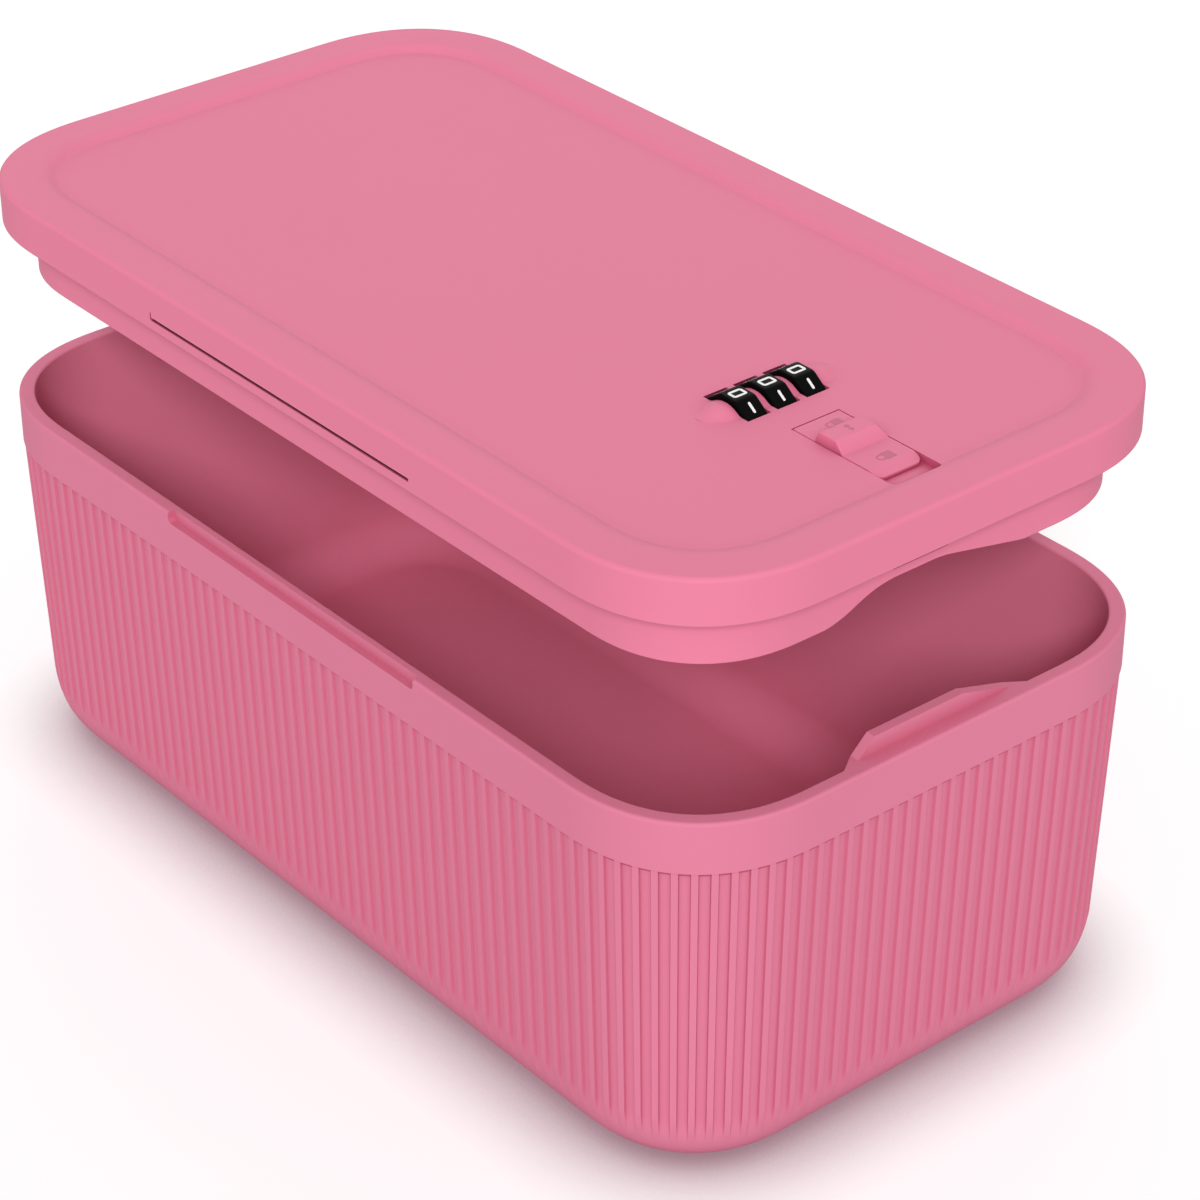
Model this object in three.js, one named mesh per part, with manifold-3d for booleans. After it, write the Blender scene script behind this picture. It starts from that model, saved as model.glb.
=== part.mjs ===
// A medication lock box: a ribbed open bin, and a lift-off lid that carries a three-dial
// combination lock with a slide latch. The lid is lifted straight off and the latch is drawn
// back. Millimetres, +Z up. The origin is the middle of the bin's underside, the long side runs
// along X and the latch is at the +X end.
import * as THREE from "three";
import { mergeVertices } from "three/addons/utils/BufferGeometryUtils.js";
import Module from "manifold-3d";

const wasm = await Module();
wasm.setup();

// Clearances
const overrun = 1; // how far a cutting tool runs past the face that it opens
const seatGap = 0.3; // between pieces that rest on or in each other
const runGap = 0.35; // beside and around pieces that turn or slide
const lidGap = 0.7; // between the lid's skirt and the keeper, when the lid is on

// The plan that the bin and the lid share
const boxLength = 300;
const boxWidth = 165;
const cornerRadius = 42.7;
const cornerPower = 2.35; // 2 is a circle; more makes the corner squarer
const cornerSteps = 12;
const ribbedCornerSteps = 24; // finer, because the ribs are spaced along it

// Bin
const binHeight = 107;
const bandHeight = 14; // the plain band under the rim
const bandStep = 0.3; // how far the band stands out from the ribs
const sideTaper = 2.5; // how far each side leans in from the band to the foot
const bottomRound = 15.7;
const bottomRoundSteps = 4;
const rimWall = 4.1;
const footWall = 2.9;
const floorThickness = 2.8;
const rimRound = 0.8;
const ribPitch = 4.7;
const ribDepth = 0.7;
const ribFadeShares = [0, 0.45, 0.8, 1, 1]; // rib depth from the flat bottom up round the bottom edge

// Finger notch in the bin's front rim
const notchLength = 104;
const notchDepth = 3;
const notchWidth = 2;

// Keeper: the thickened stretch of the end walls, with the tongue on the latch end
const keeperHeight = 10;
const keeperFootHalf = 30.6;
const keeperFaceHalf = 24.5;
const tongueThickness = 2.6;
const tongueHeight = 4.6;
const tongueTopStart = -19.5;
const tongueTopEnd = 9;
const shelfHeight = 3.5;
const beadRadius = 1.7;
const beadHalfLength = 24;
const beadDrops = [8.4, 12.6]; // how far each rear bead lies below the rim

// Lid
const lidLift = 51.7; // how far the lid is shown above its closed place
const lidRimHeight = 12.35;
const lidEdgeRound = 1.3;
const lidWall = 2.3;
const lidThickness = 2.6;
const borderWidth = 8.5;
const slopeWidth = 6.5;
const panelRecess = 1.6;
const slopeShares = [[0.25, 0.14], [0.5, 0.5], [0.75, 0.86]]; // across and down
const skirtInset = 8;
const skirtThickness = 2;
const skirtDrop = 14.85; // below the lid's rim
const archRise = 6;
const archFootHalf = 31;
const archTopStart = -17;
const archTopEnd = 3;
const slitLength = 106;
const slitHeight = 0.9;
const slitAboveEdge = 2.7;
const stiffenerHeight = 2;
const stiffenerWidth = 1.4;
const stiffenerEndInset = 32; // from the box's rear end
const stiffenerSideInset = 22.5;
const stiffenerToCover = 7.4;
const stiffenerRows = 3;
const stiffenerColumns = 5;

// Dials, which turn on one axle across the box
const dialCount = 3;
const dialSides = 10;
const dialDrop = 7.4; // axle below the lid's top edge
const dialApothem = 8.8; // from the axle to a digit's flat
const dialWidth = 6.6;
const dialPitch = 9.3;
const dialChamfer = 0.5;
const axleRadius = 1.5;
const sleeveRadius = 3.6;
const sleeveFlat = 2.5; // from the axle to the gate flat
const keyLength = 1; // the key is at the sleeve's end away from its gate
const keyWidth = 1.2;
const keyHeight = 0.8;
const roundSides = 24;
const smallSides = 16;
const arcSteps = 6;

// Raised fairing round the dials
const fairingRadius = 7.6;
const fairingShoulder = 0.65; // between the outer dial's window and the tip
const fairingTipLength = 6.9;
const fairingShares = [[0.45, 0.88], [0.8, 0.55]]; // along the tip and of its height

// Slide button
const slideTravel = 6;
const pocketInset = 13.15; // pocket's front end behind the box's end
const dialToButton = 17;
const buttonLength = 29;
const buttonWidth = 14.8;
const buttonThickness = 1.7;
const buttonRise = 2.3; // thumb ridge above the panel
const buttonNose = 1;
const pocketFloor = 1.8;
const stemSetback = 6.5; // behind it the button's plate overhangs
const stemLength = 14;
const stemWidth = 8;
const ridgeShares = { back: 0.27, backTop: 0.28, crest: 0.44, foot: 0.6, bend: 0.88 };

// Latch bolt, a plate under the dials with one tooth for each dial
const boltThickness = 1.4;
const boltTailBack = 6; // behind the axle
const boltTailFront = 10.5;
const boltLow = -12; // the bolt's long edge on the -Y side
const boltWaistHigh = 6;
const boltNoseLength = 13.9;
const boltNoseHigh = 4;
const boltSetback = 2.1; // tip of the drawn bolt behind the skirt's outer face
const toothLength = 0.9;
const toothWidth = 1.2;
const toothTop = 2.75; // below the axle

// Lock frame
const frameWall = 1.8;
const frameBackReach = 13.2; // behind the axle
const frameFrontReach = 5.5;
const frameBackDrop = 8.1; // below the axle

// Lock cover
const coverEndGap = 0.8; // behind the skirt
const coverHalf = 27.5;
const coverWall = 1.6;
const coverFloor = 1.4;
const coverCorner = 4;
const guideWidth = 1.4;
const guideInset = 4; // from the bolt's tail and from the cover's wall
const guideLow = -9;
const guideHigh = 4.4;

// Screws and other small hardware
const coverScrewInset = 4.7;
const coverScrewRadius = 1.1;
const coverScrewLength = 13.6;
const postWall = 1.3;
const postTop = 12.3; // below the lid's top edge
const bossDepth = 5; // blind end of a boss's hole, below the lid's top edge
const headShare = 2.1; // head radius against shaft radius
const headHeight = 1.1;
const socketShare = 0.42; // driver recess radius against head radius
const buttonScrewRadius = 0.9;
const buttonScrewLength = 6;
const buttonScrewShares = [0.25, 0.75]; // along the stem
const clipWidth = 0.8;
const clipRadius = 3;
const axleHeadRadius = 2.6;
const axleHeadWidth = 1;
const axleStub = 0.65; // past the frame
const springRoom = 2.75; // from the last sleeve to the frame
const springWire = 0.4;
const springRadius = 2.5;
const springTurns = 2;
const springTurnSteps = 12;
const springSides = 6;
const detentStrip = 0.4;
const detentTail = 7.6; // strip's foot below the axle
const detentBend = 3.4;
const detentLip = 1.6;
const detentFingerWidth = 3.6;
const detentScrewRadius = 0.7;
const detentScrewDrop = 5.6;
const detentScrewLength = 1.6;
const resetTravel = 1.3; // the wedge slides the axle and the sleeves as far, out of the dials' grooves
const resetRadius = 1.2;
const resetFlangeRadius = 2.2;
const resetFlangeHeight = 1.2;
const resetBladeWidth = 3;
const resetBladeDepth = 3;
const resetWedge = 1.6;

// Heights and places that follow from the sizes above
const lidClosedTop = binHeight + seatGap + lidRimHeight;
const panelTop = -panelRecess;
const panelUnder = -panelRecess - lidThickness;
const skirtBottom = -lidRimHeight - skirtDrop;
const dialCorner = dialApothem / Math.cos(Math.PI / dialSides);
const axleZ = -dialDrop;
const boltTop = axleZ - dialCorner - runGap;
const boltUnder = boltTop - boltThickness;
const screwHeadUnder = boltUnder - seatGap - headHeight;
const coverFloorTop = screwHeadUnder - seatGap;
const coverUnder = coverFloorTop - coverFloor;
const coverTop = panelUnder - seatGap;
const innerEndX = boxLength / 2 - rimWall;
const skirtOuterX = boxLength / 2 - skirtInset;
const keeperFaceX = skirtOuterX + lidGap;
const keeperProjection = innerEndX - keeperFaceX;
const pocketEnd = boxLength / 2 - pocketInset;
const buttonStart = pocketEnd - runGap - slideTravel - buttonLength;
const stemStart = buttonStart + stemSetback;
const stemEnd = stemStart + stemLength;
const dialX = buttonStart - dialToButton;
const dialRowHalf = ((dialCount - 1) * dialPitch + dialWidth) / 2;
const fairingStraightHalf = dialRowHalf + runGap + fairingShoulder;
const fairingHalfLength = fairingStraightHalf + fairingTipLength;
const sleeveKeyTop = sleeveRadius + keyHeight;
const sleeveTail = dialPitch - dialWidth - seatGap; // past the dial's side, where the gate flat is
const clipEnd = -dialRowHalf - seatGap;
const frameLow = clipEnd - clipWidth - seatGap; // inner faces of the frame's side plates
const frameHigh = dialRowHalf + sleeveTail + springRoom;
const frameBackStart = dialX - frameBackReach;
const axleHeadFace = frameLow - frameWall - resetTravel - seatGap;
const coverStart = frameBackStart - seatGap - coverWall;
const coverEnd = skirtOuterX - skirtThickness - coverEndGap;
const resetInner = axleHeadFace - axleHeadWidth - seatGap + resetWedge;
const boltTip = skirtOuterX - boltSetback;
const boltTailEnd = dialX + boltTailFront;
const boltTailLow = frameLow + runGap + seatGap;
const boltTailHigh = frameHigh - runGap - seatGap;
const boltWaistEnd = boltTip - boltNoseLength;
const ribCount = Math.round(outlineLength(planOutline(0, ribbedCornerSteps)) / ribPitch);
const dialPlaces = Array.from({ length: dialCount }, (_, i) => i * dialPitch - dialRowHalf + dialWidth / 2);

// The shared plan, inset from the outer face: corners are superellipse quarters.
function planOutline(inset, steps) {
  const middle = new THREE.Vector2(boxLength / 2 - cornerRadius, boxWidth / 2 - cornerRadius);
  const signs = [[1, 1], [-1, 1], [-1, -1], [1, -1]];
  const points = [];
  signs.forEach(([signX, signY], quarter) => {
    for (let step = 0; step <= steps; step++) {
      const angle = (step / steps) * (Math.PI / 2);
      const reach = (cornerRadius - inset) * Math.max(Math.cos(angle), 0) ** (2 / cornerPower);
      const rise = (cornerRadius - inset) * Math.sin(angle) ** (2 / cornerPower);
      const turn = quarter * (Math.PI / 2);
      const corner = new THREE.Vector2(reach, rise).rotateAround(new THREE.Vector2(), turn);
      points.push(new THREE.Vector2(signX * middle.x, signY * middle.y).add(corner));
    }
  });
  return points;
}

function outlineLength(points) {
  return new THREE.Shape([...points, points[0]]).getLength();
}

// The plan with a zigzag of ribs: every other point lies deeper.
function ribbedOutline(inset, depth) {
  const spaced = (depthHere) => {
    const outline = planOutline(inset + depthHere, ribbedCornerSteps);
    return new THREE.Shape([...outline, outline[0]]).getSpacedPoints(2 * ribCount).slice(0, -1);
  };
  const crests = spaced(0);
  const valleys = spaced(depth);
  return crests.map((crest, i) => (i % 2 ? valleys[i] : crest));
}

// A closed geometry as a solid that can be joined and cut.
function solidOf(geometry) {
  const bare = geometry.index ? geometry.toNonIndexed() : geometry.clone();
  bare.deleteAttribute("normal");
  bare.deleteAttribute("uv");
  const merged = mergeVertices(bare);
  return new wasm.Manifold(
    new wasm.Mesh({
      numProp: 3,
      vertProperties: merged.attributes.position.array,
      triVerts: new Uint32Array(merged.index.array),
    }),
  );
}

// A solid through outlines of as many points each, from the lowest up: [height, points] pairs.
function loft(rings) {
  const count = rings[0][1].length;
  const positions = rings.flatMap(([z, points]) => points.flatMap((p) => [p.x, p.y, z]));
  const faces = [];
  for (let ring = 0; ring < rings.length - 1; ring++) {
    for (let i = 0; i < count; i++) {
      const a = ring * count + i;
      const b = ring * count + ((i + 1) % count);
      faces.push(a, b, b + count, a, b + count, a + count);
    }
  }
  const top = (rings.length - 1) * count;
  for (const [a, b, c] of THREE.ShapeUtils.triangulateShape(rings[0][1], [])) {
    faces.push(c, b, a);
  }
  for (const [a, b, c] of THREE.ShapeUtils.triangulateShape(rings.at(-1)[1], [])) {
    faces.push(top + a, top + b, top + c);
  }
  const geometry = new THREE.BufferGeometry();
  geometry.setAttribute("position", new THREE.Float32BufferAttribute(positions, 3));
  geometry.setIndex(faces);
  return solidOf(geometry);
}

// Which world axes a flat shape's x, y and depth lie along, for a prism along each axis.
const axisX = new THREE.Vector3(1, 0, 0);
const axisY = new THREE.Vector3(0, 1, 0);
const axisZ = new THREE.Vector3(0, 0, 1);
const turned = {
  x: new THREE.Matrix4().makeBasis(axisY, axisZ, axisX),
  y: new THREE.Matrix4().makeBasis(axisZ, axisX, axisY),
  z: new THREE.Matrix4(),
};

// A shape pushed along an axis. Its points are (y, z) along x, (z, x) along y and (x, y) along z.
function prism(axis, shape, from, to) {
  const settings = { depth: to - from, bevelEnabled: false, curveSegments: arcSteps };
  const geometry = new THREE.ExtrudeGeometry(shape, settings);
  geometry.translate(0, 0, from);
  return solidOf(geometry.applyMatrix4(turned[axis]));
}

function polygon(points) {
  return new THREE.Shape(points.map(([x, y]) => new THREE.Vector2(x, y)));
}

function circle(x, y, radius, sides, startAngle = 0) {
  const points = [];
  for (let i = 0; i < sides; i++) {
    const angle = startAngle + (i / sides) * 2 * Math.PI;
    points.push([x + radius * Math.cos(angle), y + radius * Math.sin(angle)]);
  }
  return polygon(points);
}

function roundedRectangle(x0, y0, x1, y1, radius) {
  const shape = new THREE.Shape();
  shape.absarc(x1 - radius, y0 + radius, radius, -Math.PI / 2, 0);
  shape.absarc(x1 - radius, y1 - radius, radius, 0, Math.PI / 2);
  shape.absarc(x0 + radius, y1 - radius, radius, Math.PI / 2, Math.PI);
  shape.absarc(x0 + radius, y0 + radius, radius, Math.PI, 1.5 * Math.PI);
  return shape;
}

function block(x0, x1, y0, y1, z0, z1) {
  const geometry = new THREE.BoxGeometry(x1 - x0, y1 - y0, z1 - z0);
  geometry.translate((x0 + x1) / 2, (y0 + y1) / 2, (z0 + z1) / 2);
  return solidOf(geometry);
}

// A round bar along z, and one along the dials' axle.
function post(x, y, radius, z0, z1, sides = smallSides) {
  return prism("z", circle(x, y, radius, sides), z0, z1);
}

function onAxle(radius, y0, y1, sides = roundSides) {
  return prism("y", circle(axleZ, dialX, radius, sides, Math.PI / sides), y0, y1);
}

function joined(...solids) {
  return solids.reduce((all, next) => all.add(next));
}

// Bin

// Rings of the bin's outside from the flat bottom up round the bottom edge to the band.
function binOuterRings() {
  const rings = [];
  for (let step = 0; step <= bottomRoundSteps; step++) {
    const angle = (1 - step / bottomRoundSteps) * (Math.PI / 2);
    const inset = bandStep + sideTaper + bottomRound * (1 - Math.cos(angle));
    const height = bottomRound * (1 - Math.sin(angle));
    rings.push([height, ribbedOutline(inset, ribDepth * ribFadeShares[step])]);
  }
  rings.push([binHeight - bandHeight + bandStep, ribbedOutline(bandStep, ribDepth)]);
  return rings;
}

function binCavity() {
  const rings = [];
  const round = bottomRound - footWall;
  const footInset = bandStep + sideTaper + footWall;
  for (let step = 0; step <= bottomRoundSteps; step++) {
    const angle = (1 - step / bottomRoundSteps) * (Math.PI / 2);
    const inset = footInset + round * (1 - Math.cos(angle));
    rings.push([floorThickness + round * (1 - Math.sin(angle)), planOutline(inset, cornerSteps)]);
  }
  rings.push([binHeight - bandHeight, planOutline(rimWall, cornerSteps)]);
  rings.push([binHeight + overrun, planOutline(rimWall, cornerSteps)]);
  return loft(rings);
}

function binBand() {
  const straight = planOutline(0, cornerSteps);
  return loft([
    [binHeight - bandHeight, straight],
    [binHeight - rimRound, straight],
    [binHeight, planOutline(rimRound, cornerSteps)],
  ]);
}

// The wall's thickened stretch at an end: it grows out of the wall from below.
function keeperBlock(end, low) {
  const outline = (faceX) => [
    [innerEndX + overrun, -keeperFootHalf],
    [innerEndX + overrun, keeperFootHalf],
    [faceX, keeperFaceHalf],
    [faceX, -keeperFaceHalf],
  ];
  const ring = (faceX) => {
    const points = outline(faceX).map(([x, y]) => new THREE.Vector2(end * x, y));
    return end > 0 ? points : points.reverse();
  };
  return loft([
    [low, ring(innerEndX)],
    [low + keeperProjection, ring(keeperFaceX)],
    [binHeight, ring(keeperFaceX)],
  ]);
}

function tongue() {
  const outline = polygon([
    [-keeperFaceHalf, binHeight - keeperProjection],
    [keeperFaceHalf, binHeight - keeperProjection],
    [keeperFaceHalf, binHeight],
    [tongueTopEnd, binHeight + tongueHeight],
    [tongueTopStart, binHeight + tongueHeight],
    [-keeperFaceHalf, binHeight],
  ]);
  return prism("x", outline, keeperFaceX, keeperFaceX + tongueThickness);
}

function boltSlot() {
  const z = lidClosedTop + (boltTop + boltUnder) / 2;
  const halfHeight = boltThickness / 2 + runGap;
  const tip = boltTip + slideTravel + runGap;
  return block(
    keeperFaceX - overrun, tip, boltLow - runGap, boltNoseHigh + runGap, z - halfHeight, z + halfHeight,
  );
}

function rearShelf() {
  const shelf = keeperBlock(-1, binHeight - shelfHeight - keeperProjection);
  const under = block(
    -innerEndX + keeperProjection / 2, -keeperFaceX + overrun,
    -boxWidth, boxWidth, 0, binHeight - shelfHeight,
  );
  return shelf.subtract(under);
}

function rearBeads() {
  return beadDrops.map((drop) =>
    prism(
      "y", circle(binHeight - drop, -innerEndX, beadRadius, smallSides), -beadHalfLength, beadHalfLength,
    ),
  );
}

function fingerNotch() {
  const edge = -boxWidth / 2;
  return block(
    -notchLength / 2, notchLength / 2, edge - overrun, edge + notchWidth,
    binHeight - notchDepth, binHeight + overrun,
  );
}

function makeBin() {
  const walls = joined(loft(binOuterRings()), binBand()).subtract(binCavity());
  return joined(walls, keeperBlock(1, binHeight - keeperHeight), tongue(), rearShelf(), ...rearBeads())
    .subtract(boltSlot())
    .subtract(fingerNotch());
}

// Lid: heights are below its top edge

function lidTop() {
  const at = (inset) => planOutline(inset, cornerSteps);
  const middle = lidEdgeRound * (1 - Math.SQRT1_2);
  return loft([
    [-lidRimHeight, at(0)],
    [-lidEdgeRound, at(0)],
    [-middle, at(middle)],
    [0, at(lidEdgeRound)],
  ]);
}

// The shallow dish in the lid's top, from the border down to the panel.
function panelDish() {
  const at = (share) => planOutline(borderWidth + slopeWidth * (1 - share), cornerSteps);
  const rings = [[panelTop, at(0)]];
  for (const [across, down] of slopeShares.toReversed()) {
    rings.push([panelTop * down, planOutline(borderWidth + slopeWidth * across, cornerSteps)]);
  }
  rings.push([0, at(1)]);
  rings.push([overrun, at(1)]);
  return loft(rings);
}

function lidHollow() {
  const at = (inset) => planOutline(inset, cornerSteps);
  return loft([
    [-lidRimHeight - overrun, at(lidWall)],
    [-lidThickness, at(lidWall)],
  ]).subtract(
    block(-boxLength, boxLength, -boxWidth, boxWidth, panelUnder, overrun).intersect(
      loft([
        [panelUnder, at(borderWidth + slopeWidth)],
        [-lidThickness, at(borderWidth)],
        [overrun, at(borderWidth)],
      ]),
    ),
  );
}

// The arch in the skirt's lower edge at an end. The one at the latch end leans to one side.
function archOutline(end) {
  const under = skirtBottom - overrun;
  return polygon([
    [-archFootHalf, under],
    [archFootHalf, under],
    [archFootHalf, skirtBottom],
    [end > 0 ? archTopEnd : -archTopStart, skirtBottom + archRise],
    [archTopStart, skirtBottom + archRise],
    [-archFootHalf, skirtBottom],
  ]);
}

function skirt() {
  const ring = (inset, z0, z1) => loft([
    [z0, planOutline(inset, cornerSteps)],
    [z1, planOutline(inset, cornerSteps)],
  ]);
  const top = -lidThickness / 2;
  const opening = block(
    skirtOuterX - skirtThickness - overrun, skirtOuterX + overrun,
    boltLow - seatGap - runGap, boltNoseHigh + seatGap + runGap,
    boltUnder - seatGap - runGap, boltTop + seatGap + runGap,
  );
  return ring(skirtInset, skirtBottom, top)
    .subtract(ring(skirtInset + skirtThickness, skirtBottom - overrun, top + overrun))
    .subtract(prism("x", archOutline(1), 0, boxLength))
    .subtract(prism("x", archOutline(-1), -boxLength, 0))
    .subtract(opening);
}

// A spindle about the dials' axle, kept only where it stands on the panel.
function fairing() {
  const flush = axleZ - panelTop;
  const rise = fairingRadius + flush;
  const tip = fairingHalfLength - fairingStraightHalf;
  const half = [[fairingRadius, fairingStraightHalf]];
  for (const [along, height] of fairingShares) {
    half.push([-flush + rise * height, fairingStraightHalf + tip * along]);
  }
  half.push([-flush, fairingHalfLength]);
  const mirrored = half.map(([radius, y]) => [radius, -y]).reverse();
  const profile = [[0, -fairingHalfLength], ...mirrored, ...half, [0, fairingHalfLength]];
  const points = profile.map(([radius, y]) => new THREE.Vector2(radius, y));
  const lathe = new THREE.LatheGeometry(points, 2 * roundSides);
  lathe.translate(dialX, 0, axleZ);
  const kept = block(
    dialX - fairingRadius - overrun, dialX + fairingRadius + overrun, -fairingHalfLength - overrun,
    fairingHalfLength + overrun, (panelTop + panelUnder) / 2, axleZ + fairingRadius + overrun,
  );
  return solidOf(lathe).intersect(kept);
}

function dialWindow(y) {
  const half = dialWidth / 2 + runGap;
  return onAxle(dialCorner + runGap + seatGap, y - half, y + half);
}

function coverScrewPlaces() {
  const inset = coverScrewInset;
  return [coverStart + inset, coverEnd - inset].flatMap((x) =>
    [-coverHalf + inset, coverHalf - inset].map((y) => [x, y]),
  );
}

function stiffeners() {
  const ribs = [];
  const start = stiffenerEndInset - boxLength / 2;
  const end = coverStart - stiffenerToCover;
  const halfWidth = boxWidth / 2 - stiffenerSideInset;
  const z0 = panelUnder - stiffenerHeight;
  const z1 = panelUnder + overrun;
  for (let row = 0; row < stiffenerRows; row++) {
    const y = (2 * (row + 1) / (stiffenerRows + 1) - 1) * halfWidth;
    ribs.push(block(start, end, y - stiffenerWidth / 2, y + stiffenerWidth / 2, z0, z1));
  }
  for (let column = 0; column < stiffenerColumns; column++) {
    const share = column / (stiffenerColumns - 1);
    const x = THREE.MathUtils.lerp(start + stiffenerWidth, end - stiffenerWidth, share);
    ribs.push(block(x - stiffenerWidth / 2, x + stiffenerWidth / 2, -halfWidth, halfWidth, z0, z1));
  }
  return ribs;
}

function makeLidShell() {
  const pocket = prism(
    "z",
    roundedRectangle(
      buttonStart - runGap, -buttonWidth / 2 - runGap, pocketEnd, buttonWidth / 2 + runGap, buttonNose,
    ),
    panelTop - buttonThickness - seatGap, panelTop + overrun + buttonRise,
  );
  const padUnder = panelTop - buttonThickness - seatGap - pocketFloor;
  const pad = block(
    buttonStart - pocketFloor, pocketEnd + seatGap,
    -buttonWidth / 2 - pocketFloor, buttonWidth / 2 + pocketFloor, padUnder, panelUnder + seatGap,
  );
  const slot = block(
    stemStart - runGap, stemEnd + slideTravel + runGap, -stemWidth / 2 - runGap, stemWidth / 2 + runGap,
    padUnder - overrun, panelTop,
  );
  const slitLow = -lidRimHeight + slitAboveEdge;
  const slit = block(
    -slitLength / 2, slitLength / 2, -boxWidth / 2 - overrun, -boxWidth / 2 + lidWall + overrun,
    slitLow, slitLow + slitHeight,
  );
  const holeRadius = coverScrewRadius + seatGap;
  const bosses = coverScrewPlaces().map(([x, y]) =>
    post(x, y, holeRadius + postWall, -postTop + seatGap, panelTop),
  );
  const holes = coverScrewPlaces().map(([x, y]) => post(x, y, holeRadius, -postTop - overrun, -bossDepth));
  const relief = onAxle(sleeveKeyTop + runGap, frameLow, frameHigh);
  const shell = joined(lidTop().subtract(panelDish()).subtract(lidHollow()), skirt(), pad, ...bosses);
  return [pocket, slot, slit, relief, ...holes, ...dialPlaces.map(dialWindow)].reduce(
    (rest, cut) => rest.subtract(cut),
    joined(shell, fairing(), ...stiffeners()),
  );
}

// Lock: the dials, their sleeves and axle

// A dial's bore has a groove for its sleeve's key, and past it a wider stretch where the key turns freely.
function makeDial(y) {
  const low = y - dialWidth / 2;
  const high = y + dialWidth / 2;
  const facets = (radius) => circle(axleZ, dialX, radius, dialSides, Math.PI / dialSides);
  const ring = (radius, from, to) => prism("y", facets(radius), from, to);
  const slim = dialCorner - dialChamfer;
  const wheel = joined(ring(dialCorner, low + dialChamfer, high - dialChamfer), ring(slim, low, high));
  const keyEnd = low + keyLength;
  const groove = block(
    dialX - keyWidth / 2 - seatGap, dialX + keyWidth / 2 + seatGap, low - overrun, keyEnd + resetTravel,
    axleZ, axleZ + sleeveKeyTop + seatGap,
  );
  const freed = onAxle(sleeveKeyTop + seatGap, keyEnd, keyEnd + resetTravel + seatGap);
  return wheel
    .subtract(onAxle(sleeveRadius + seatGap, low - overrun, high + overrun))
    .subtract(groove)
    .subtract(freed);
}

function makeSleeve(y) {
  const low = y - dialWidth / 2;
  const gateStart = y + dialWidth / 2;
  const end = gateStart + sleeveTail;
  const key = block(
    dialX - keyWidth / 2, dialX + keyWidth / 2, low, low + keyLength,
    axleZ + axleRadius + runGap + seatGap, axleZ + sleeveKeyTop,
  );
  const gate = block(
    dialX - sleeveRadius - overrun, dialX + sleeveRadius + overrun, gateStart, end + overrun,
    axleZ - sleeveRadius - overrun, axleZ - sleeveFlat,
  );
  return joined(onAxle(sleeveRadius, low, end), key)
    .subtract(onAxle(axleRadius + runGap, low - overrun, end + overrun, smallSides))
    .subtract(gate);
}

function makeAxle() {
  return joined(
    onAxle(axleRadius, axleHeadFace - axleHeadWidth / 2, frameHigh + frameWall + axleStub, smallSides),
    onAxle(axleHeadRadius, axleHeadFace - axleHeadWidth, axleHeadFace, smallSides),
  );
}

// The clip sits in the axle's way out of the frame, and pushes the row of sleeves.
function makeAxleClip() {
  const start = clipEnd - clipWidth;
  const mouth = block(
    dialX - axleRadius, dialX + axleRadius, start - overrun, clipEnd + overrun,
    axleZ - clipRadius - overrun, axleZ,
  );
  return onAxle(clipRadius, start, clipEnd)
    .subtract(onAxle(axleRadius + seatGap, start - overrun, clipEnd + overrun))
    .subtract(mouth);
}

// The spring between the last sleeve and the frame: one wire wound round the axle.
function makeAxleSpring() {
  const start = dialRowHalf + sleeveTail + seatGap + springWire / 2;
  const end = frameHigh - seatGap - springWire / 2;
  const steps = Math.round(springTurns * springTurnSteps);
  const points = [];
  for (let step = 0; step <= steps; step++) {
    const share = step / steps;
    const angle = share * springTurns * 2 * Math.PI;
    points.push(
      new THREE.Vector3(
        dialX + springRadius * Math.cos(angle),
        start + share * (end - start),
        axleZ + springRadius * Math.sin(angle),
      ),
    );
  }
  const gaps = points.slice(springTurnSteps).map((point, i) => point.distanceTo(points[i]) - springWire);
  console.log("least gap of the axle spring to itself:", Math.min(...gaps).toFixed(2), "mm");
  const wire = circle(0, 0, springWire / 2, springSides);
  const path = new THREE.CatmullRomCurve3(points);
  return solidOf(new THREE.ExtrudeGeometry(wire, { steps, extrudePath: path, bevelEnabled: false }));
}

// Lock: what holds and gates them

function makeFrame() {
  const bottom = coverFloorTop + seatGap;
  const plates = [frameLow - frameWall, frameHigh].map((y) =>
    block(frameBackStart, dialX + frameFrontReach, y, y + frameWall, bottom, coverTop),
  );
  const back = block(
    frameBackStart, frameBackStart + frameWall, frameLow - frameWall, frameHigh + frameWall,
    axleZ - frameBackDrop, coverTop,
  );
  const holeRadius = detentScrewRadius + seatGap;
  const screwHoles = detentScrewPlaces().map(([y, z]) =>
    prism("x", circle(y, z, holeRadius, smallSides), frameBackStart - overrun, dialX - dialCorner),
  );
  const axleHole = onAxle(axleRadius + seatGap, -boxWidth / 2, boxWidth / 2, smallSides);
  return [axleHole, ...screwHoles].reduce((rest, cut) => rest.subtract(cut), joined(...plates, back));
}

function detentScrewPlaces() {
  return [-1, 1].map((side) => [(side * dialPitch) / 2, axleZ - detentScrewDrop]);
}

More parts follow.
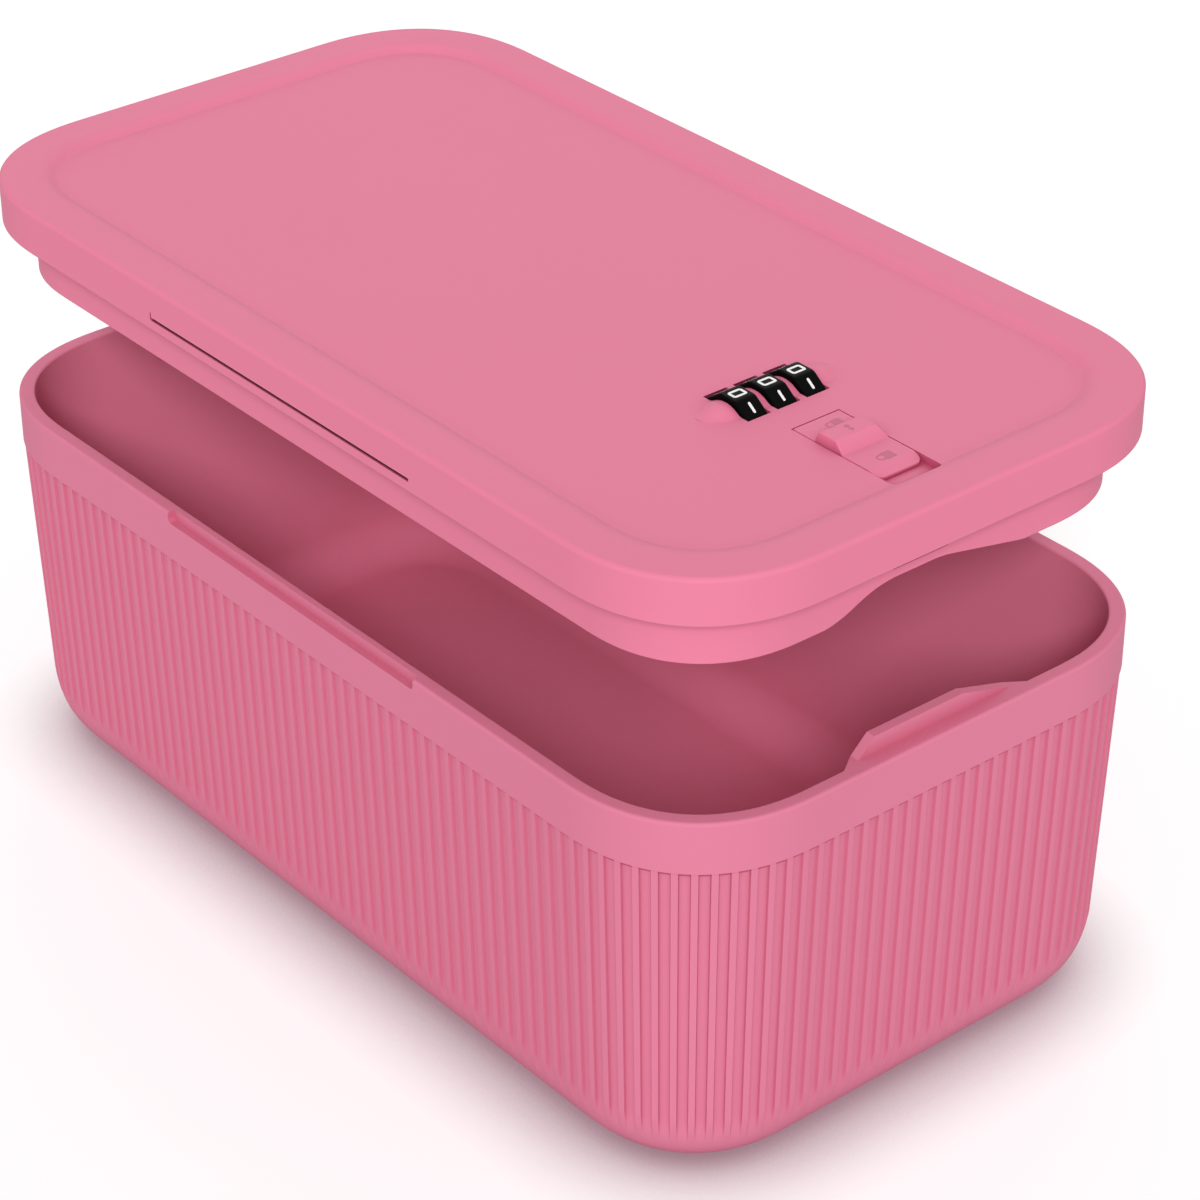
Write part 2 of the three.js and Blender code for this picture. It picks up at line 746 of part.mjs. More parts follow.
// A leaf spring with one finger for each dial.
function makeDetentSpring() {
  const backX = frameBackStart + frameWall + seatGap;
  const tipX = dialX - dialCorner - runGap - detentStrip;
  const strip = detentStrip;
  const side = [
    [axleZ - detentTail, backX],
    [axleZ - detentBend, backX],
    [axleZ, tipX],
    [axleZ + detentLip, backX],
    [axleZ + detentLip, backX + strip],
    [axleZ, tipX + strip],
    [axleZ - detentBend, backX + strip],
    [axleZ - detentTail, backX + strip],
  ];
  const foot = [
    [axleZ - detentTail, backX],
    [axleZ - detentBend, backX],
    [axleZ - detentBend, backX + strip],
    [axleZ - detentTail, backX + strip],
  ];
  const fingers = dialPlaces.map((y) =>
    prism("y", polygon(side), y - detentFingerWidth / 2, y + detentFingerWidth / 2),
  );
  const holeRadius = detentScrewRadius + seatGap;
  const holes = detentScrewPlaces().map(([y, z]) =>
    prism("x", circle(y, z, holeRadius, smallSides), backX - overrun, backX + strip + overrun),
  );
  return holes.reduce(
    (rest, cut) => rest.subtract(cut),
    joined(prism("y", polygon(foot), boltTailLow, boltTailHigh), ...fingers),
  );
}

function makeBolt() {
  const plate = prism(
    "z",
    polygon([
      [dialX - boltTailBack, boltTailLow],
      [boltTailEnd, boltTailLow],
      [boltTailEnd, boltLow],
      [boltTip, boltLow],
      [boltTip, boltNoseHigh],
      [boltWaistEnd, boltNoseHigh],
      [boltWaistEnd, boltWaistHigh],
      [boltTailEnd, boltWaistHigh],
      [boltTailEnd, boltTailHigh],
      [dialX - boltTailBack, boltTailHigh],
    ]),
    boltUnder, boltTop,
  );
  const toothX = dialX - slideTravel / 2;
  const teeth = dialPlaces.map((place) => {
    const y = place + dialWidth / 2 + (dialPitch - dialWidth) / 2 - toothWidth / 2 + runGap / 2;
    return block(
      toothX - toothLength / 2, toothX + toothLength / 2, y - toothWidth / 2, y + toothWidth / 2,
      boltUnder, axleZ - toothTop,
    );
  });
  const holes = buttonScrewPlaces().map((x) =>
    post(x, 0, buttonScrewRadius + seatGap, boltUnder - overrun, boltTop + overrun),
  );
  return holes.reduce((rest, cut) => rest.subtract(cut), joined(plate, ...teeth));
}

function buttonScrewPlaces() {
  return buttonScrewShares.map((share) => stemStart + share * stemLength);
}

// The button: a flat plate in its pocket, a thumb ridge across it and a stem down to the bolt.
function makeButton() {
  const along = (share) => buttonStart + share * buttonLength;
  const under = panelTop - buttonThickness;
  const side = polygon([
    [under, buttonStart],
    [under, along(1)],
    [panelTop - buttonNose, along(1)],
    [panelTop, along(ridgeShares.bend)],
    [panelTop, along(ridgeShares.foot)],
    [panelTop + buttonRise, along(ridgeShares.crest)],
    [panelTop + buttonRise, along(ridgeShares.backTop)],
    [panelTop, along(ridgeShares.back)],
    [panelTop, buttonStart],
  ]);
  const plan = roundedRectangle(buttonStart, -buttonWidth / 2, along(1), buttonWidth / 2, buttonNose);
  const plate = prism("y", side, -buttonWidth, buttonWidth)
    .intersect(prism("z", plan, under - overrun, panelTop + buttonRise + overrun));
  const halfStem = stemWidth / 2;
  const stem = block(stemStart, stemEnd, -halfStem, halfStem, boltTop + seatGap, panelTop - seatGap);
  const holes = buttonScrewPlaces().map((x) =>
    post(x, 0, buttonScrewRadius + seatGap, boltTop, boltTop + buttonScrewLength),
  );
  return holes.reduce((rest, cut) => rest.subtract(cut), joined(plate, stem));
}

function makeCover() {
  const wall = coverWall;
  const outline = (inset) => roundedRectangle(
    coverStart + inset, -coverHalf + inset, coverEnd - inset, coverHalf - inset, coverCorner - inset,
  );
  const tray = prism("z", outline(0), coverUnder, coverTop).subtract(
    prism("z", outline(wall), coverFloorTop, coverTop + overrun),
  );
  const holeRadius = coverScrewRadius + seatGap;
  const posts = coverScrewPlaces().map(([x, y]) =>
    post(x, y, holeRadius + postWall, coverUnder + wall / 2, -postTop),
  );
  const guideStart = boltTailEnd + guideInset;
  const guideEnd = coverEnd - wall - guideInset;
  const guideTop = boltUnder - seatGap;
  const guides = [guideLow, guideHigh].map((y) =>
    block(guideStart, guideEnd, y - guideWidth / 2, y + guideWidth / 2, coverFloorTop - wall / 2, guideTop),
  );
  const exit = block(
    coverEnd - wall - overrun, coverEnd + overrun, boltLow - runGap, boltNoseHigh + runGap,
    boltUnder - runGap, boltTop + runGap,
  );
  const screwHoles = coverScrewPlaces().map(([x, y]) =>
    post(x, y, holeRadius, coverUnder - overrun, -postTop + overrun),
  );
  const resetY = resetInner - resetBladeDepth / 2;
  const resetHole = post(dialX, resetY, resetRadius + runGap, coverUnder - overrun, coverFloorTop + overrun);
  return [exit, resetHole, ...screwHoles].reduce(
    (rest, cut) => rest.subtract(cut),
    joined(tray, ...posts, ...guides),
  );
}

function makeResetPin() {
  const flangeLow = coverFloorTop + seatGap;
  const flangeTop = flangeLow + resetFlangeHeight;
  const outer = resetInner - resetBladeDepth;
  const resetY = (resetInner + outer) / 2;
  const bladeTop = axleZ - axleHeadRadius;
  const blade = prism(
    "x",
    polygon([
      [outer, flangeLow],
      [resetInner, flangeLow],
      [resetInner, bladeTop - resetWedge],
      [resetInner - resetWedge, bladeTop],
      [outer, bladeTop],
    ]),
    dialX - resetBladeWidth / 2, dialX + resetBladeWidth / 2,
  );
  return joined(
    post(dialX, resetY, resetRadius, coverUnder, flangeTop),
    post(dialX, resetY, resetFlangeRadius, flangeLow, flangeTop),
    blade,
  );
}

// A screw that points up, with a driver recess in its head. Its head's top face is at z.
function makeScrew(x, y, z, radius, length) {
  const head = headShare * radius;
  return joined(post(x, y, radius, z - headHeight / 2, z + length), post(x, y, head, z - headHeight, z))
    .subtract(post(x, y, head * socketShare, z - headHeight - overrun, z - headHeight / 2, dialSides));
}

// A short screw that points away from the dials, into the frame's back wall.
function makeDetentScrew(y, z) {
  const headStart = frameBackStart + frameWall + seatGap + detentStrip + seatGap;
  const head = headShare * detentScrewRadius;
  const disc = (radius, from, to) => prism("x", circle(y, z, radius, smallSides), from, to);
  return joined(
    disc(detentScrewRadius, headStart - detentScrewLength, headStart + headHeight / 2),
    disc(head, headStart, headStart + headHeight / 2),
  );
}

// Materials

const plastics = {
  pink: new THREE.MeshStandardMaterial({ color: 0xdc7a96, roughness: 0.55, metalness: 0 }),
  black: new THREE.MeshStandardMaterial({ color: 0x141414, roughness: 0.4, metalness: 0 }),
  grey: new THREE.MeshStandardMaterial({ color: 0x8d8f93, roughness: 0.5, metalness: 0 }),
};
const metals = {
  steel: new THREE.MeshStandardMaterial({ color: 0xb9bcc0, roughness: 0.3, metalness: 1 }),
  zinc: new THREE.MeshStandardMaterial({ color: 0xa5a8ac, roughness: 0.45, metalness: 1 }),
};

// A solid as a named mesh in its own material.
function meshOf(name, solid, material) {
  const { numProp, numVert, vertProperties, triVerts } = solid.getMesh();
  const positions = new Float32Array(numVert * 3);
  for (let i = 0; i < numVert; i++) {
    positions.set(vertProperties.subarray(i * numProp, i * numProp + 3), i * 3);
  }
  const geometry = new THREE.BufferGeometry();
  geometry.setAttribute("position", new THREE.BufferAttribute(positions, 3));
  geometry.setIndex(new THREE.BufferAttribute(new Uint32Array(triVerts), 1));
  geometry.computeVertexNormals();
  const mesh = new THREE.Mesh(geometry, material);
  mesh.name = name;
  return mesh;
}

// Assembly

const lockBox = new THREE.Group();
lockBox.add(meshOf("bin_shell", makeBin(), plastics.pink));

const lid = new THREE.Group();
lid.position.z = lidClosedTop + lidLift;
lid.add(meshOf("lid_shell", makeLidShell(), plastics.pink));
lid.add(meshOf("lock_frame", makeFrame(), plastics.grey));
lid.add(meshOf("lock_cover", makeCover(), plastics.pink));
coverScrewPlaces().forEach(([x, y], i) => {
  const screw = makeScrew(x, y, coverUnder - seatGap, coverScrewRadius, coverScrewLength);
  lid.add(meshOf(`cover_screw_${i + 1}`, screw, metals.steel));
});
lid.add(meshOf("dial_axle", makeAxle(), metals.steel));
lid.add(meshOf("axle_clip", makeAxleClip(), metals.steel));
lid.add(meshOf("axle_spring", makeAxleSpring(), metals.steel));
lid.add(meshOf("detent_spring", makeDetentSpring(), metals.steel));
detentScrewPlaces().forEach(([y, z], i) => {
  lid.add(meshOf(`detent_screw_${i + 1}`, makeDetentScrew(y, z), metals.steel));
});
dialPlaces.forEach((y, i) => {
  lid.add(meshOf(`dial_wheel_${i + 1}`, makeDial(y), plastics.black));
  lid.add(meshOf(`code_sleeve_${i + 1}`, makeSleeve(y), metals.zinc));
});
lid.add(meshOf("slide_button", makeButton(), plastics.pink));
lid.add(meshOf("latch_bolt", makeBolt(), metals.zinc));
buttonScrewPlaces().forEach((x, i) => {
  const screw = makeScrew(x, 0, boltUnder - seatGap, buttonScrewRadius, buttonScrewLength);
  lid.add(meshOf(`button_screw_${i + 1}`, screw, metals.steel));
});
lid.add(meshOf("reset_pin", makeResetPin(), plastics.grey));
lockBox.add(lid);

export default lockBox;
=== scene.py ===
"""A medication lock box for Blender 4.5.

It is a ribbed bin, and a lift-off lid with a three-dial lock and a slide latch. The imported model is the
fixed frame, and each class here dresses one sub-assembly round it. Sizes are in millimetres, and a form is
turned to metres when it becomes a mesh. The lid's heights count up from its top edge, so most of them are
negative.
"""

import logging
import math
from collections.abc import Iterable, Sequence
from dataclasses import dataclass
from enum import Enum

import bmesh
import bpy
import numpy as np
from mathutils import Matrix, Vector


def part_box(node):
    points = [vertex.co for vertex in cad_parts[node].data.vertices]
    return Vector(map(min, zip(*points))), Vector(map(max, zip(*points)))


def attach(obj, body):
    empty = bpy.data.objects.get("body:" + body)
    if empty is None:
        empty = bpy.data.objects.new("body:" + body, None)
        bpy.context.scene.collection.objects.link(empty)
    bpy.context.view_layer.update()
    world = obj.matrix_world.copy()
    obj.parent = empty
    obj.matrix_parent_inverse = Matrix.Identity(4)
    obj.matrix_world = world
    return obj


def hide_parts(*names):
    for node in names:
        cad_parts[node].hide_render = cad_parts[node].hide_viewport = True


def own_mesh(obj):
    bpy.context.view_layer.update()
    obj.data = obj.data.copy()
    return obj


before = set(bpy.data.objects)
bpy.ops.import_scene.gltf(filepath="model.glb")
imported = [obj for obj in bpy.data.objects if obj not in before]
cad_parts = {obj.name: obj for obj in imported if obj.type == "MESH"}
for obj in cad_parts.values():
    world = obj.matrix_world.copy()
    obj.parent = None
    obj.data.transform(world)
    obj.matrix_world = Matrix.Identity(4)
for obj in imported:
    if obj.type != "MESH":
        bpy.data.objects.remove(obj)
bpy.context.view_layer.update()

LOG = logging.getLogger("lock_box")
MM = 0.001  # metres in a millimetre
OVERRUN = 1.0  # how far a cutting form runs past the face that it opens
FULL_TURN = 2 * math.pi
TINY = 1e-6  # a length that counts as none
SIDE_SPLIT = 2.01  # what a side's length is divided by for the room of one corner's rounding

Point2 = tuple[float, float]
Point3 = tuple[float, float, float]


# Forms


@dataclass
class Form:
    """A closed surface.

    Attributes:
        points: Its points, one row of x, y and z each, in millimetres.
        faces: The point numbers round each face, anticlockwise seen from outside.
    """

    points: np.ndarray
    faces: list[tuple[int, ...]]

    def mesh(self, name: str) -> bpy.types.Mesh:
        """Turns the form into a mesh, in metres.

        Args:
            name: The mesh's name.

        Returns:
            The new mesh.
        """
        mesh = bpy.data.meshes.new(name)
        mesh.from_pydata((self.points * MM).tolist(), [], self.faces)
        mesh.update()
        return mesh

    def placed(self, matrix: Matrix) -> "Form":
        """Returns a copy of the form that is turned and moved by a matrix in millimetres."""
        turned = np.array(matrix)
        return Form(self.points @ turned[:3, :3].T + turned[:3, 3], self.faces)


class Axis(Enum):
    """Which way an outline is pushed: where its first and second coordinate and its depth lie."""

    X = (1, 2, 0)
    Y = (2, 0, 1)
    Z = (0, 1, 2)


def merged(forms: Iterable[Form]) -> Form:
    """Puts forms that don't cross into one.

    Args:
        forms: The forms.

    Returns:
        One form that holds them all.
    """
    points: list[np.ndarray] = []
    faces: list[tuple[int, ...]] = []
    start = 0
    for form in forms:
        points.append(form.points)
        faces.extend(tuple(start + i for i in face) for face in form.faces)
        start += len(form.points)
    return Form(np.concatenate(points), faces)


def loft(rings: Sequence[np.ndarray], closed: bool = False) -> Form:
    """Makes a surface through rings of as many points each.

    Args:
        rings: The rings, anticlockwise seen from above, in order from the underside outwards and up.
        closed: True if the last ring joins the first, and False if both are capped.

    Returns:
        The surface.
    """
    count = len(rings[0])
    faces: list[tuple[int, ...]] = []
    steps = len(rings) if closed else len(rings) - 1
    for step in range(steps):
        low = step * count
        high = (step + 1) % len(rings) * count
        for i in range(count):
            j = (i + 1) % count
            faces.append((low + i, low + j, high + j, high + i))
    if not closed:
        last = (len(rings) - 1) * count
        faces.append(tuple(range(count - 1, -1, -1)))
        faces.append(tuple(range(last, last + count)))
    return Form(np.concatenate(rings), faces)


def flat_ring(axis: Axis, outline: Sequence[Point2], depth: float) -> np.ndarray:
    """Gives an outline's points in space, at a depth along an axis."""
    flat = np.array(outline, float)
    ring = np.empty((len(flat), 3))
    ring[:, axis.value[0]] = flat[:, 0]
    ring[:, axis.value[1]] = flat[:, 1]
    ring[:, axis.value[2]] = depth
    return ring


def prism(axis: Axis, outline: Sequence[Point2], low: float, high: float) -> Form:
    """Pushes a flat outline along an axis.

    Args:
        axis: The way it is pushed, which also says where its coordinates lie.
        outline: Its points, anticlockwise seen against the push.
        low: Where the form starts.
        high: Where it ends.

    Returns:
        The form.
    """
    return loft([flat_ring(axis, outline, low), flat_ring(axis, outline, high)])


def block(low: Point3, high: Point3) -> Form:
    """Makes a rectangular form between two corners."""
    corners = [(low[0], low[1]), (high[0], low[1]), (high[0], high[1]), (low[0], high[1])]
    return prism(Axis.Z, corners, low[2], high[2])


def arc(centre: Point2, radius: float, start: float, end: float, steps: int) -> list[Point2]:
    """Gives points along an arc.

    Args:
        centre: The arc's centre.
        radius: Its radius.
        start: The first point's angle, in degrees.
        end: The last point's angle, in degrees.
        steps: How many stretches it has.

    Returns:
        The points.
    """
    angles = np.radians(np.linspace(start, end, steps + 1))
    return [(centre[0] + radius * math.cos(a), centre[1] + radius * math.sin(a)) for a in angles]


def circle(radius: float, steps: int, centre: Point2 = (0.0, 0.0), phase: float = 0.0) -> list[Point2]:
    """Gives the points of a regular outline, anticlockwise.

    Args:
        radius: From its centre to its points.
        steps: How many points it has.
        centre: Its centre.
        phase: The first point's angle, in degrees.

    Returns:
        The points.
    """
    return arc(centre, radius, phase, phase + 360, steps)[:-1]


def filleted(corners: Sequence[Point2], radius: float, steps: int = 6, closed: bool = True) -> list[Point2]:
    """Rounds the corners of a line.

    Args:
        corners: The line's corners.
        radius: The rounding's radius, which is less where a side is short.
        steps: How many stretches each rounding has.
        closed: True if the last corner joins the first.

    Returns:
        The points of the rounded line.
    """
    rounded: list[Point2] = []
    count = len(corners)
    for i, corner in enumerate(corners):
        if not closed and i in (0, count - 1):
            rounded.append(corner)
            continue
        here = Vector(corner)
        back = Vector(corners[i - 1]) - here
        ahead = Vector(corners[(i + 1) % count]) - here
        reach = radius / math.tan(back.angle(ahead) / 2)
        reach = min(reach, back.length / SIDE_SPLIT, ahead.length / SIDE_SPLIT)
        start = here + back.normalized() * reach
        end = here + ahead.normalized() * reach
        for step in range(steps + 1):
            share = step / steps
            bow = start.lerp(here, share).lerp(here.lerp(end, share), share)
            rounded.append((bow.x, bow.y))
    return rounded


def turns_left(points: Sequence[Vector]) -> bool:
    """Says whether a loop runs anticlockwise."""
    return sum(a.cross(b) for a, b in zip(points, [*points[1:], points[0]])) > 0


def ribbon(
    line: Sequence[Point2], width: float, low: float, high: float, closed: bool, cap_steps: int = 6,
) -> Form:
    """Makes a stroke of even width along a flat line.

    Args:
        line: The line's points, in x and y.
        width: The stroke's width.
        low: Its underside, in z.
        high: Its top, in z.
        closed: True if the line is a loop, and False if it gets round ends.
        cap_steps: How many stretches a round end has.

    Returns:
        The stroke.
    """
    points = [Vector(p) for p in line]
    count = len(points)
    sharpest = 0.5  # the cosine at which a corner stops growing outwards
    left, right = [], []
    for i, point in enumerate(points):
        before = points[i - 1] if closed or i > 0 else point
        after = points[(i + 1) % count] if closed or i < count - 1 else point
        sides = [(b - a).normalized() for a, b in ((before, point), (point, after)) if (b - a).length > TINY]
        along = sum(sides, Vector((0.0, 0.0))).normalized()
        normal = Vector((-along.y, along.x))
        spread = width / 2 / max(along.dot(sides[0]), sharpest)
        left.append(point + normal * spread)
        right.append(point - normal * spread)
    if closed:
        outer, inner = (right, left) if turns_left(points) else (left[::-1], right[::-1])
        order = ((inner, low), (outer, low), (outer, high), (inner, high))
        return loft([np.array([(p.x, p.y, z) for p in ring]) for ring, z in order], closed=True)
    caps = []
    for side, tip in ((left[0], points[0]), (right[-1], points[-1])):
        turn = math.degrees(math.atan2(side.y - tip.y, side.x - tip.x))
        caps.append(arc((tip.x, tip.y), width / 2, turn, turn + 180, cap_steps))
    outline = [
        *caps[0], *[(p.x, p.y) for p in right[1:-1]], *caps[1], *[(p.x, p.y) for p in left[-2:0:-1]],
    ]
    return prism(Axis.Z, outline, low, high)


def eased(form: Form, width: float, segments: int = 2, least_angle: float = 25.0) -> Form:
    """Rounds a form's sharp edges.

    Args:
        form: The form.
        width: How far the rounding reaches from each edge.
        segments: How many stretches the rounding has.
        least_angle: The least angle between two faces, in degrees, whose edge is rounded.

    Returns:
        The rounded form.
    """
    work = bmesh.new()
    points = [work.verts.new(p) for p in form.points]
    for face in form.faces:
        work.faces.new([points[i] for i in face])
    sharp = [e for e in work.edges if e.calc_face_angle(0.0) > math.radians(least_angle)]
    bmesh.ops.bevel(
        work, geom=sharp, offset=width, offset_type="OFFSET", segments=segments, profile=0.5,
        affect="EDGES", clamp_overlap=True,
    )
    work.verts.index_update()
    result = Form(np.array([v.co for v in work.verts]), [tuple(v.index for v in f.verts) for f in work.faces])
    work.free()
    return result


class Cut(Enum):
    """How one form changes another."""

    ADD = "UNION"
    TAKE = "DIFFERENCE"


def carved(name: str, base: Form, changes: Sequence[tuple[Cut, Form]]) -> bpy.types.Mesh:
    """Joins and cuts forms.

    Args:
        name: The new mesh's name.
        base: The form to start from.
        changes: What is done to it, in order.

    Returns:
        The mesh of the result, in metres.
    """
    collection = bpy.context.scene.collection
    body = bpy.data.objects.new(f"{name}_work", base.mesh(name))
    collection.objects.link(body)
    used = [body]
    for i, (how, form) in enumerate(changes):
        tool = bpy.data.objects.new(f"{name}_tool_{i}", form.mesh(f"{name}_tool_{i}"))
        collection.objects.link(tool)
        used.append(tool)
        change = body.modifiers.new(f"change_{i}", "BOOLEAN")
        change.object = tool
        change.operation = how.value
        change.solver = "MANIFOLD"
    bpy.context.view_layer.update()
    made = bpy.data.meshes.new_from_object(body.evaluated_get(bpy.context.evaluated_depsgraph_get()))
    for thing in used:
        data = thing.data
        bpy.data.objects.remove(thing)
        bpy.data.meshes.remove(data)
    made.name = name
    return made


def show(
    name: str, mesh: bpy.types.Mesh, material: bpy.types.Material, body: str,
    stands_for: Sequence[str] = (), sharp_angle: float = 30.0,
) -> bpy.types.Object:
    """Puts a finished mesh into the scene as a piece of the object.

    Args:
        name: The piece's name.
        mesh: Its mesh, in metres.
        material: Its finish.
        body: The body that it rides on.
        stands_for: The nodes that it is shown instead of.
        sharp_angle: The least angle between faces, in degrees, that looks sharp.

    Returns:
        The new object.
    """
    mesh.materials.clear()
    mesh.materials.append(material)
    mesh.shade_smooth()
    mesh.set_sharp_from_angle(angle=math.radians(sharp_angle))
    piece = bpy.data.objects.new(name, mesh)
    bpy.context.scene.collection.objects.link(piece)
    level = piece.modifiers.new("level_faces", "WEIGHTED_NORMAL")
    level.mode = "FACE_AREA_WITH_ANGLE"
    level.keep_sharp = True
    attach(piece, body)
    if stands_for:
        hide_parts(*stands_for)
    LOG.info("%s: %d faces, rides on %s", name, len(mesh.polygons), body)
    return piece


# Finishes


def linear(code: str) -> tuple[float, float, float, float]:
    """Turns a colour's sRGB hex code to linear light.

    Args:
        code: The code, as "#rrggbb".

    Returns:
        Red, green, blue and a full alpha.
    """
    shares = [int(code[i:i + 2], 16) / 255 for i in (1, 3, 5)]
    red, green, blue = ((s / 12.92 if s <= 0.04045 else ((s + 0.055) / 1.055) ** 2.4) for s in shares)
    return red, green, blue, 1.0


def add_node(
    tree: bpy.types.NodeTree, kind: str, links: dict[str | int, object], **settings: object,
) -> bpy.types.Node:
    """Adds a node with its settings and links.

    Args:
        tree: The material's node tree.
        kind: The node's type.
        links: What feeds each input: another node's output, or a plain value.
        **settings: The node's own properties.

    Returns:
        The new node.
    """
    node = tree.nodes.new(kind)
    for key, value in settings.items():
        setattr(node, key, value)
    for key, value in links.items():
        if isinstance(value, bpy.types.NodeSocket):
            tree.links.new(value, node.inputs[key])
        else:
            node.inputs[key].default_value = value
    return node


class Finish:
    """A procedural material, which each kind of finish fills in."""

    name: str

    def make(self) -> bpy.types.Material:
        """Builds the material."""
        material = bpy.data.materials.new(self.name)
        material.use_nodes = True
        tree = material.node_tree
        tree.nodes.clear()
        place = add_node(tree, "ShaderNodeTexCoord", {}).outputs["Object"]
        shader = self.surface(tree, place)
        add_node(tree, "ShaderNodeOutputMaterial", {"Surface": shader.outputs[0]})
        return material

    def surface(self, tree: bpy.types.NodeTree, place: bpy.types.NodeSocket) -> bpy.types.Node:
        """Adds the finish's own nodes.

        Args:
            tree: The material's node tree.
            place: The point on the piece that is shaded.

        Returns:
            The node that shades the surface.
        """
        raise NotImplementedError

    @staticmethod
    def noise(
        tree: bpy.types.NodeTree, place: bpy.types.NodeSocket, width: float, detail: float,
    ) -> bpy.types.NodeSocket:
        """Adds cloudy noise whose patches are width millimetres wide, and returns its strength."""
        fineness = 0.55  # how much of the finer noise it keeps
        settings = {"Vector": place, "Scale": 1 / (width * MM), "Detail": detail, "Roughness": fineness}
        return add_node(tree, "ShaderNodeTexNoise", settings).outputs["Fac"]

    @staticmethod
    def painted_shade_mask(tree: bpy.types.NodeTree, reach: float, low: float, high: float) -> bpy.types.NodeSocket:
        """Adds a mask for painted shade, which is 0 in crevices and 1 on open faces.

        Args:
            tree: The material's node tree.
            reach: How far away a face still closes a crevice, in millimetres.
            low: The share of open sky that counts as 0.
            high: The share that counts as 1.

        Returns:
            The value.
        """
        sky = add_node(tree, "ShaderNodeAmbientOcclusion", {"Distance": reach * MM}, samples=5)
        ends = {"Value": sky.outputs["AO"], "From Min": low, "From Max": high}
        return add_node(tree, "ShaderNodeMapRange", ends).outputs["Result"]

    @staticmethod
    def ranged(
        tree: bpy.types.NodeTree, value: bpy.types.NodeSocket, low: float, high: float,
    ) -> bpy.types.NodeSocket:
        """Stretches the middle of a noise to the range from low to high, and returns the result."""
        first, last = 0.3, 0.7  # where nearly all of a noise lies
        ends = {"Value": value, "From Min": first, "From Max": last, "To Min": low, "To Max": high}
        return add_node(tree, "ShaderNodeMapRange", ends).outputs["Result"]

    @staticmethod
    def bump(
        tree: bpy.types.NodeTree, height: bpy.types.NodeSocket, depth: float,
    ) -> bpy.types.NodeSocket:
        """Raises a pattern by depth millimetres, and returns the normal."""
        settings = {"Height": height, "Distance": depth * MM, "Strength": 1.0}
        return add_node(tree, "ShaderNodeBump", settings).outputs["Normal"]

    @staticmethod
    def tinted(
        tree: bpy.types.NodeTree, value: bpy.types.NodeSocket, first: str | bpy.types.NodeSocket,
        second: str | bpy.types.NodeSocket,
    ) -> bpy.types.NodeSocket:
        """Runs from one colour to another, each an sRGB code or a node's output, and returns the colour."""
        mix = tree.nodes.new("ShaderNodeMix")
        mix.data_type = "RGBA"
        shown = {s.name: s for s in mix.inputs if s.enabled}
        tree.links.new(value, shown["Factor"])
        for key, colour in (("A", first), ("B", second)):
            if isinstance(colour, str):
                shown[key].default_value = linear(colour)
            else:
                tree.links.new(colour, shown[key])
        return next(s for s in mix.outputs if s.enabled)


@dataclass(frozen=True)
class MouldedPolypropylene(Finish):
    """Injection-moulded polypropylene with a spark-eroded satin face, and painted shade in its narrow
    corners.

    Attributes:
        name: The material's name.
        colour: The plastic's colour, sRGB.
        cloud_colour: The colour of the faint patches that the flowing melt leaves, sRGB.
        painted_shade_colour: The darker colour painted into narrow corners and grooves as shade, sRGB.
        painted_shade_reach: How far that painted shade reaches.
        painted_shade_range: The shares of open sky at which the painted shade is full and gone.
        roughness: The faces' roughness.
        gloss: How much they mirror, where 0.5 is bare plastic.
        roughness_range: How much it varies.
        grain: The grain's width. The real one is near 0.1, too fine to show, so it is drawn coarser.
        grain_depth: The grain's depth.
        cloud: The width of the cloudy patches.
    """

    name: str
    colour: str
    cloud_colour: str
    painted_shade_colour: str
    painted_shade_range: Point2 = (0.45, 0.95)
    painted_shade_reach: float = 5.0
    roughness: float = 0.6
    gloss: float = 0.12
    roughness_range: float = 0.05
    grain: float = 0.5
    grain_depth: float = 0.012
    cloud: float = 60.0

    def surface(self, tree: bpy.types.NodeTree, place: bpy.types.NodeSocket) -> bpy.types.Node:
        """Adds the cloudy colour, the painted shade in crevices, the fine grain and the soft sheen."""
        clouds = self.noise(tree, place, self.cloud, detail=3.0)
        grain = self.noise(tree, place, self.grain, detail=2.0)
        bump = self.bump(tree, grain, self.grain_depth)
        dullest = self.roughness + self.roughness_range
        shine = self.ranged(tree, grain, self.roughness - self.roughness_range, dullest)
        clouded = self.tinted(tree, clouds, self.colour, self.cloud_colour)
        # Painted shade: the colour runs to the darker shade colour where nearby faces close off the sky.
        unshaded_share = self.painted_shade_mask(tree, self.painted_shade_reach, *self.painted_shade_range)
        return add_node(tree, "ShaderNodeBsdfPrincipled", {
            "Base Color": self.tinted(tree, unshaded_share, self.painted_shade_colour, clouded), "Roughness": shine,
            "IOR": 1.49, "Specular IOR Level": self.gloss, "Normal": bump,
        })


@dataclass(frozen=True)
class MouldedAbs(Finish):
    """Injection-moulded ABS from a polished mould, smoother than the polypropylene, with faint rubbed spots.

    Attributes:
        name: The material's name.
        colour: The plastic's colour, sRGB.
        rubbed_colour: Its colour where fingers rub it, sRGB.
        roughness: The faces' roughness.
        gloss: How much they mirror, where 0.5 is bare plastic.
        rub: The width of the rubbed spots.
        rub_depth: Their depth.
        wear: How much less and how much more rough a spot may be.
    """

    name: str
    colour: str
    rubbed_colour: str
    roughness: float = 0.32
    gloss: float = 0.5
    rub: float = 1.6
    rub_depth: float = 0.008
    wear: Point2 = (0.05, 0.08)

    def surface(self, tree: bpy.types.NodeTree, place: bpy.types.NodeSocket) -> bpy.types.Node:
        """Adds the rubbed spots and the shine."""
        spots = self.noise(tree, place, self.rub, detail=4.0)
        less, more = self.wear
        return add_node(tree, "ShaderNodeBsdfPrincipled", {
            "Base Color": self.tinted(tree, spots, self.colour, self.rubbed_colour),
            "Roughness": self.ranged(tree, spots, self.roughness - less, self.roughness + more),
            "IOR": 1.54, "Specular IOR Level": self.gloss, "Normal": self.bump(tree, spots, self.rub_depth),
        })


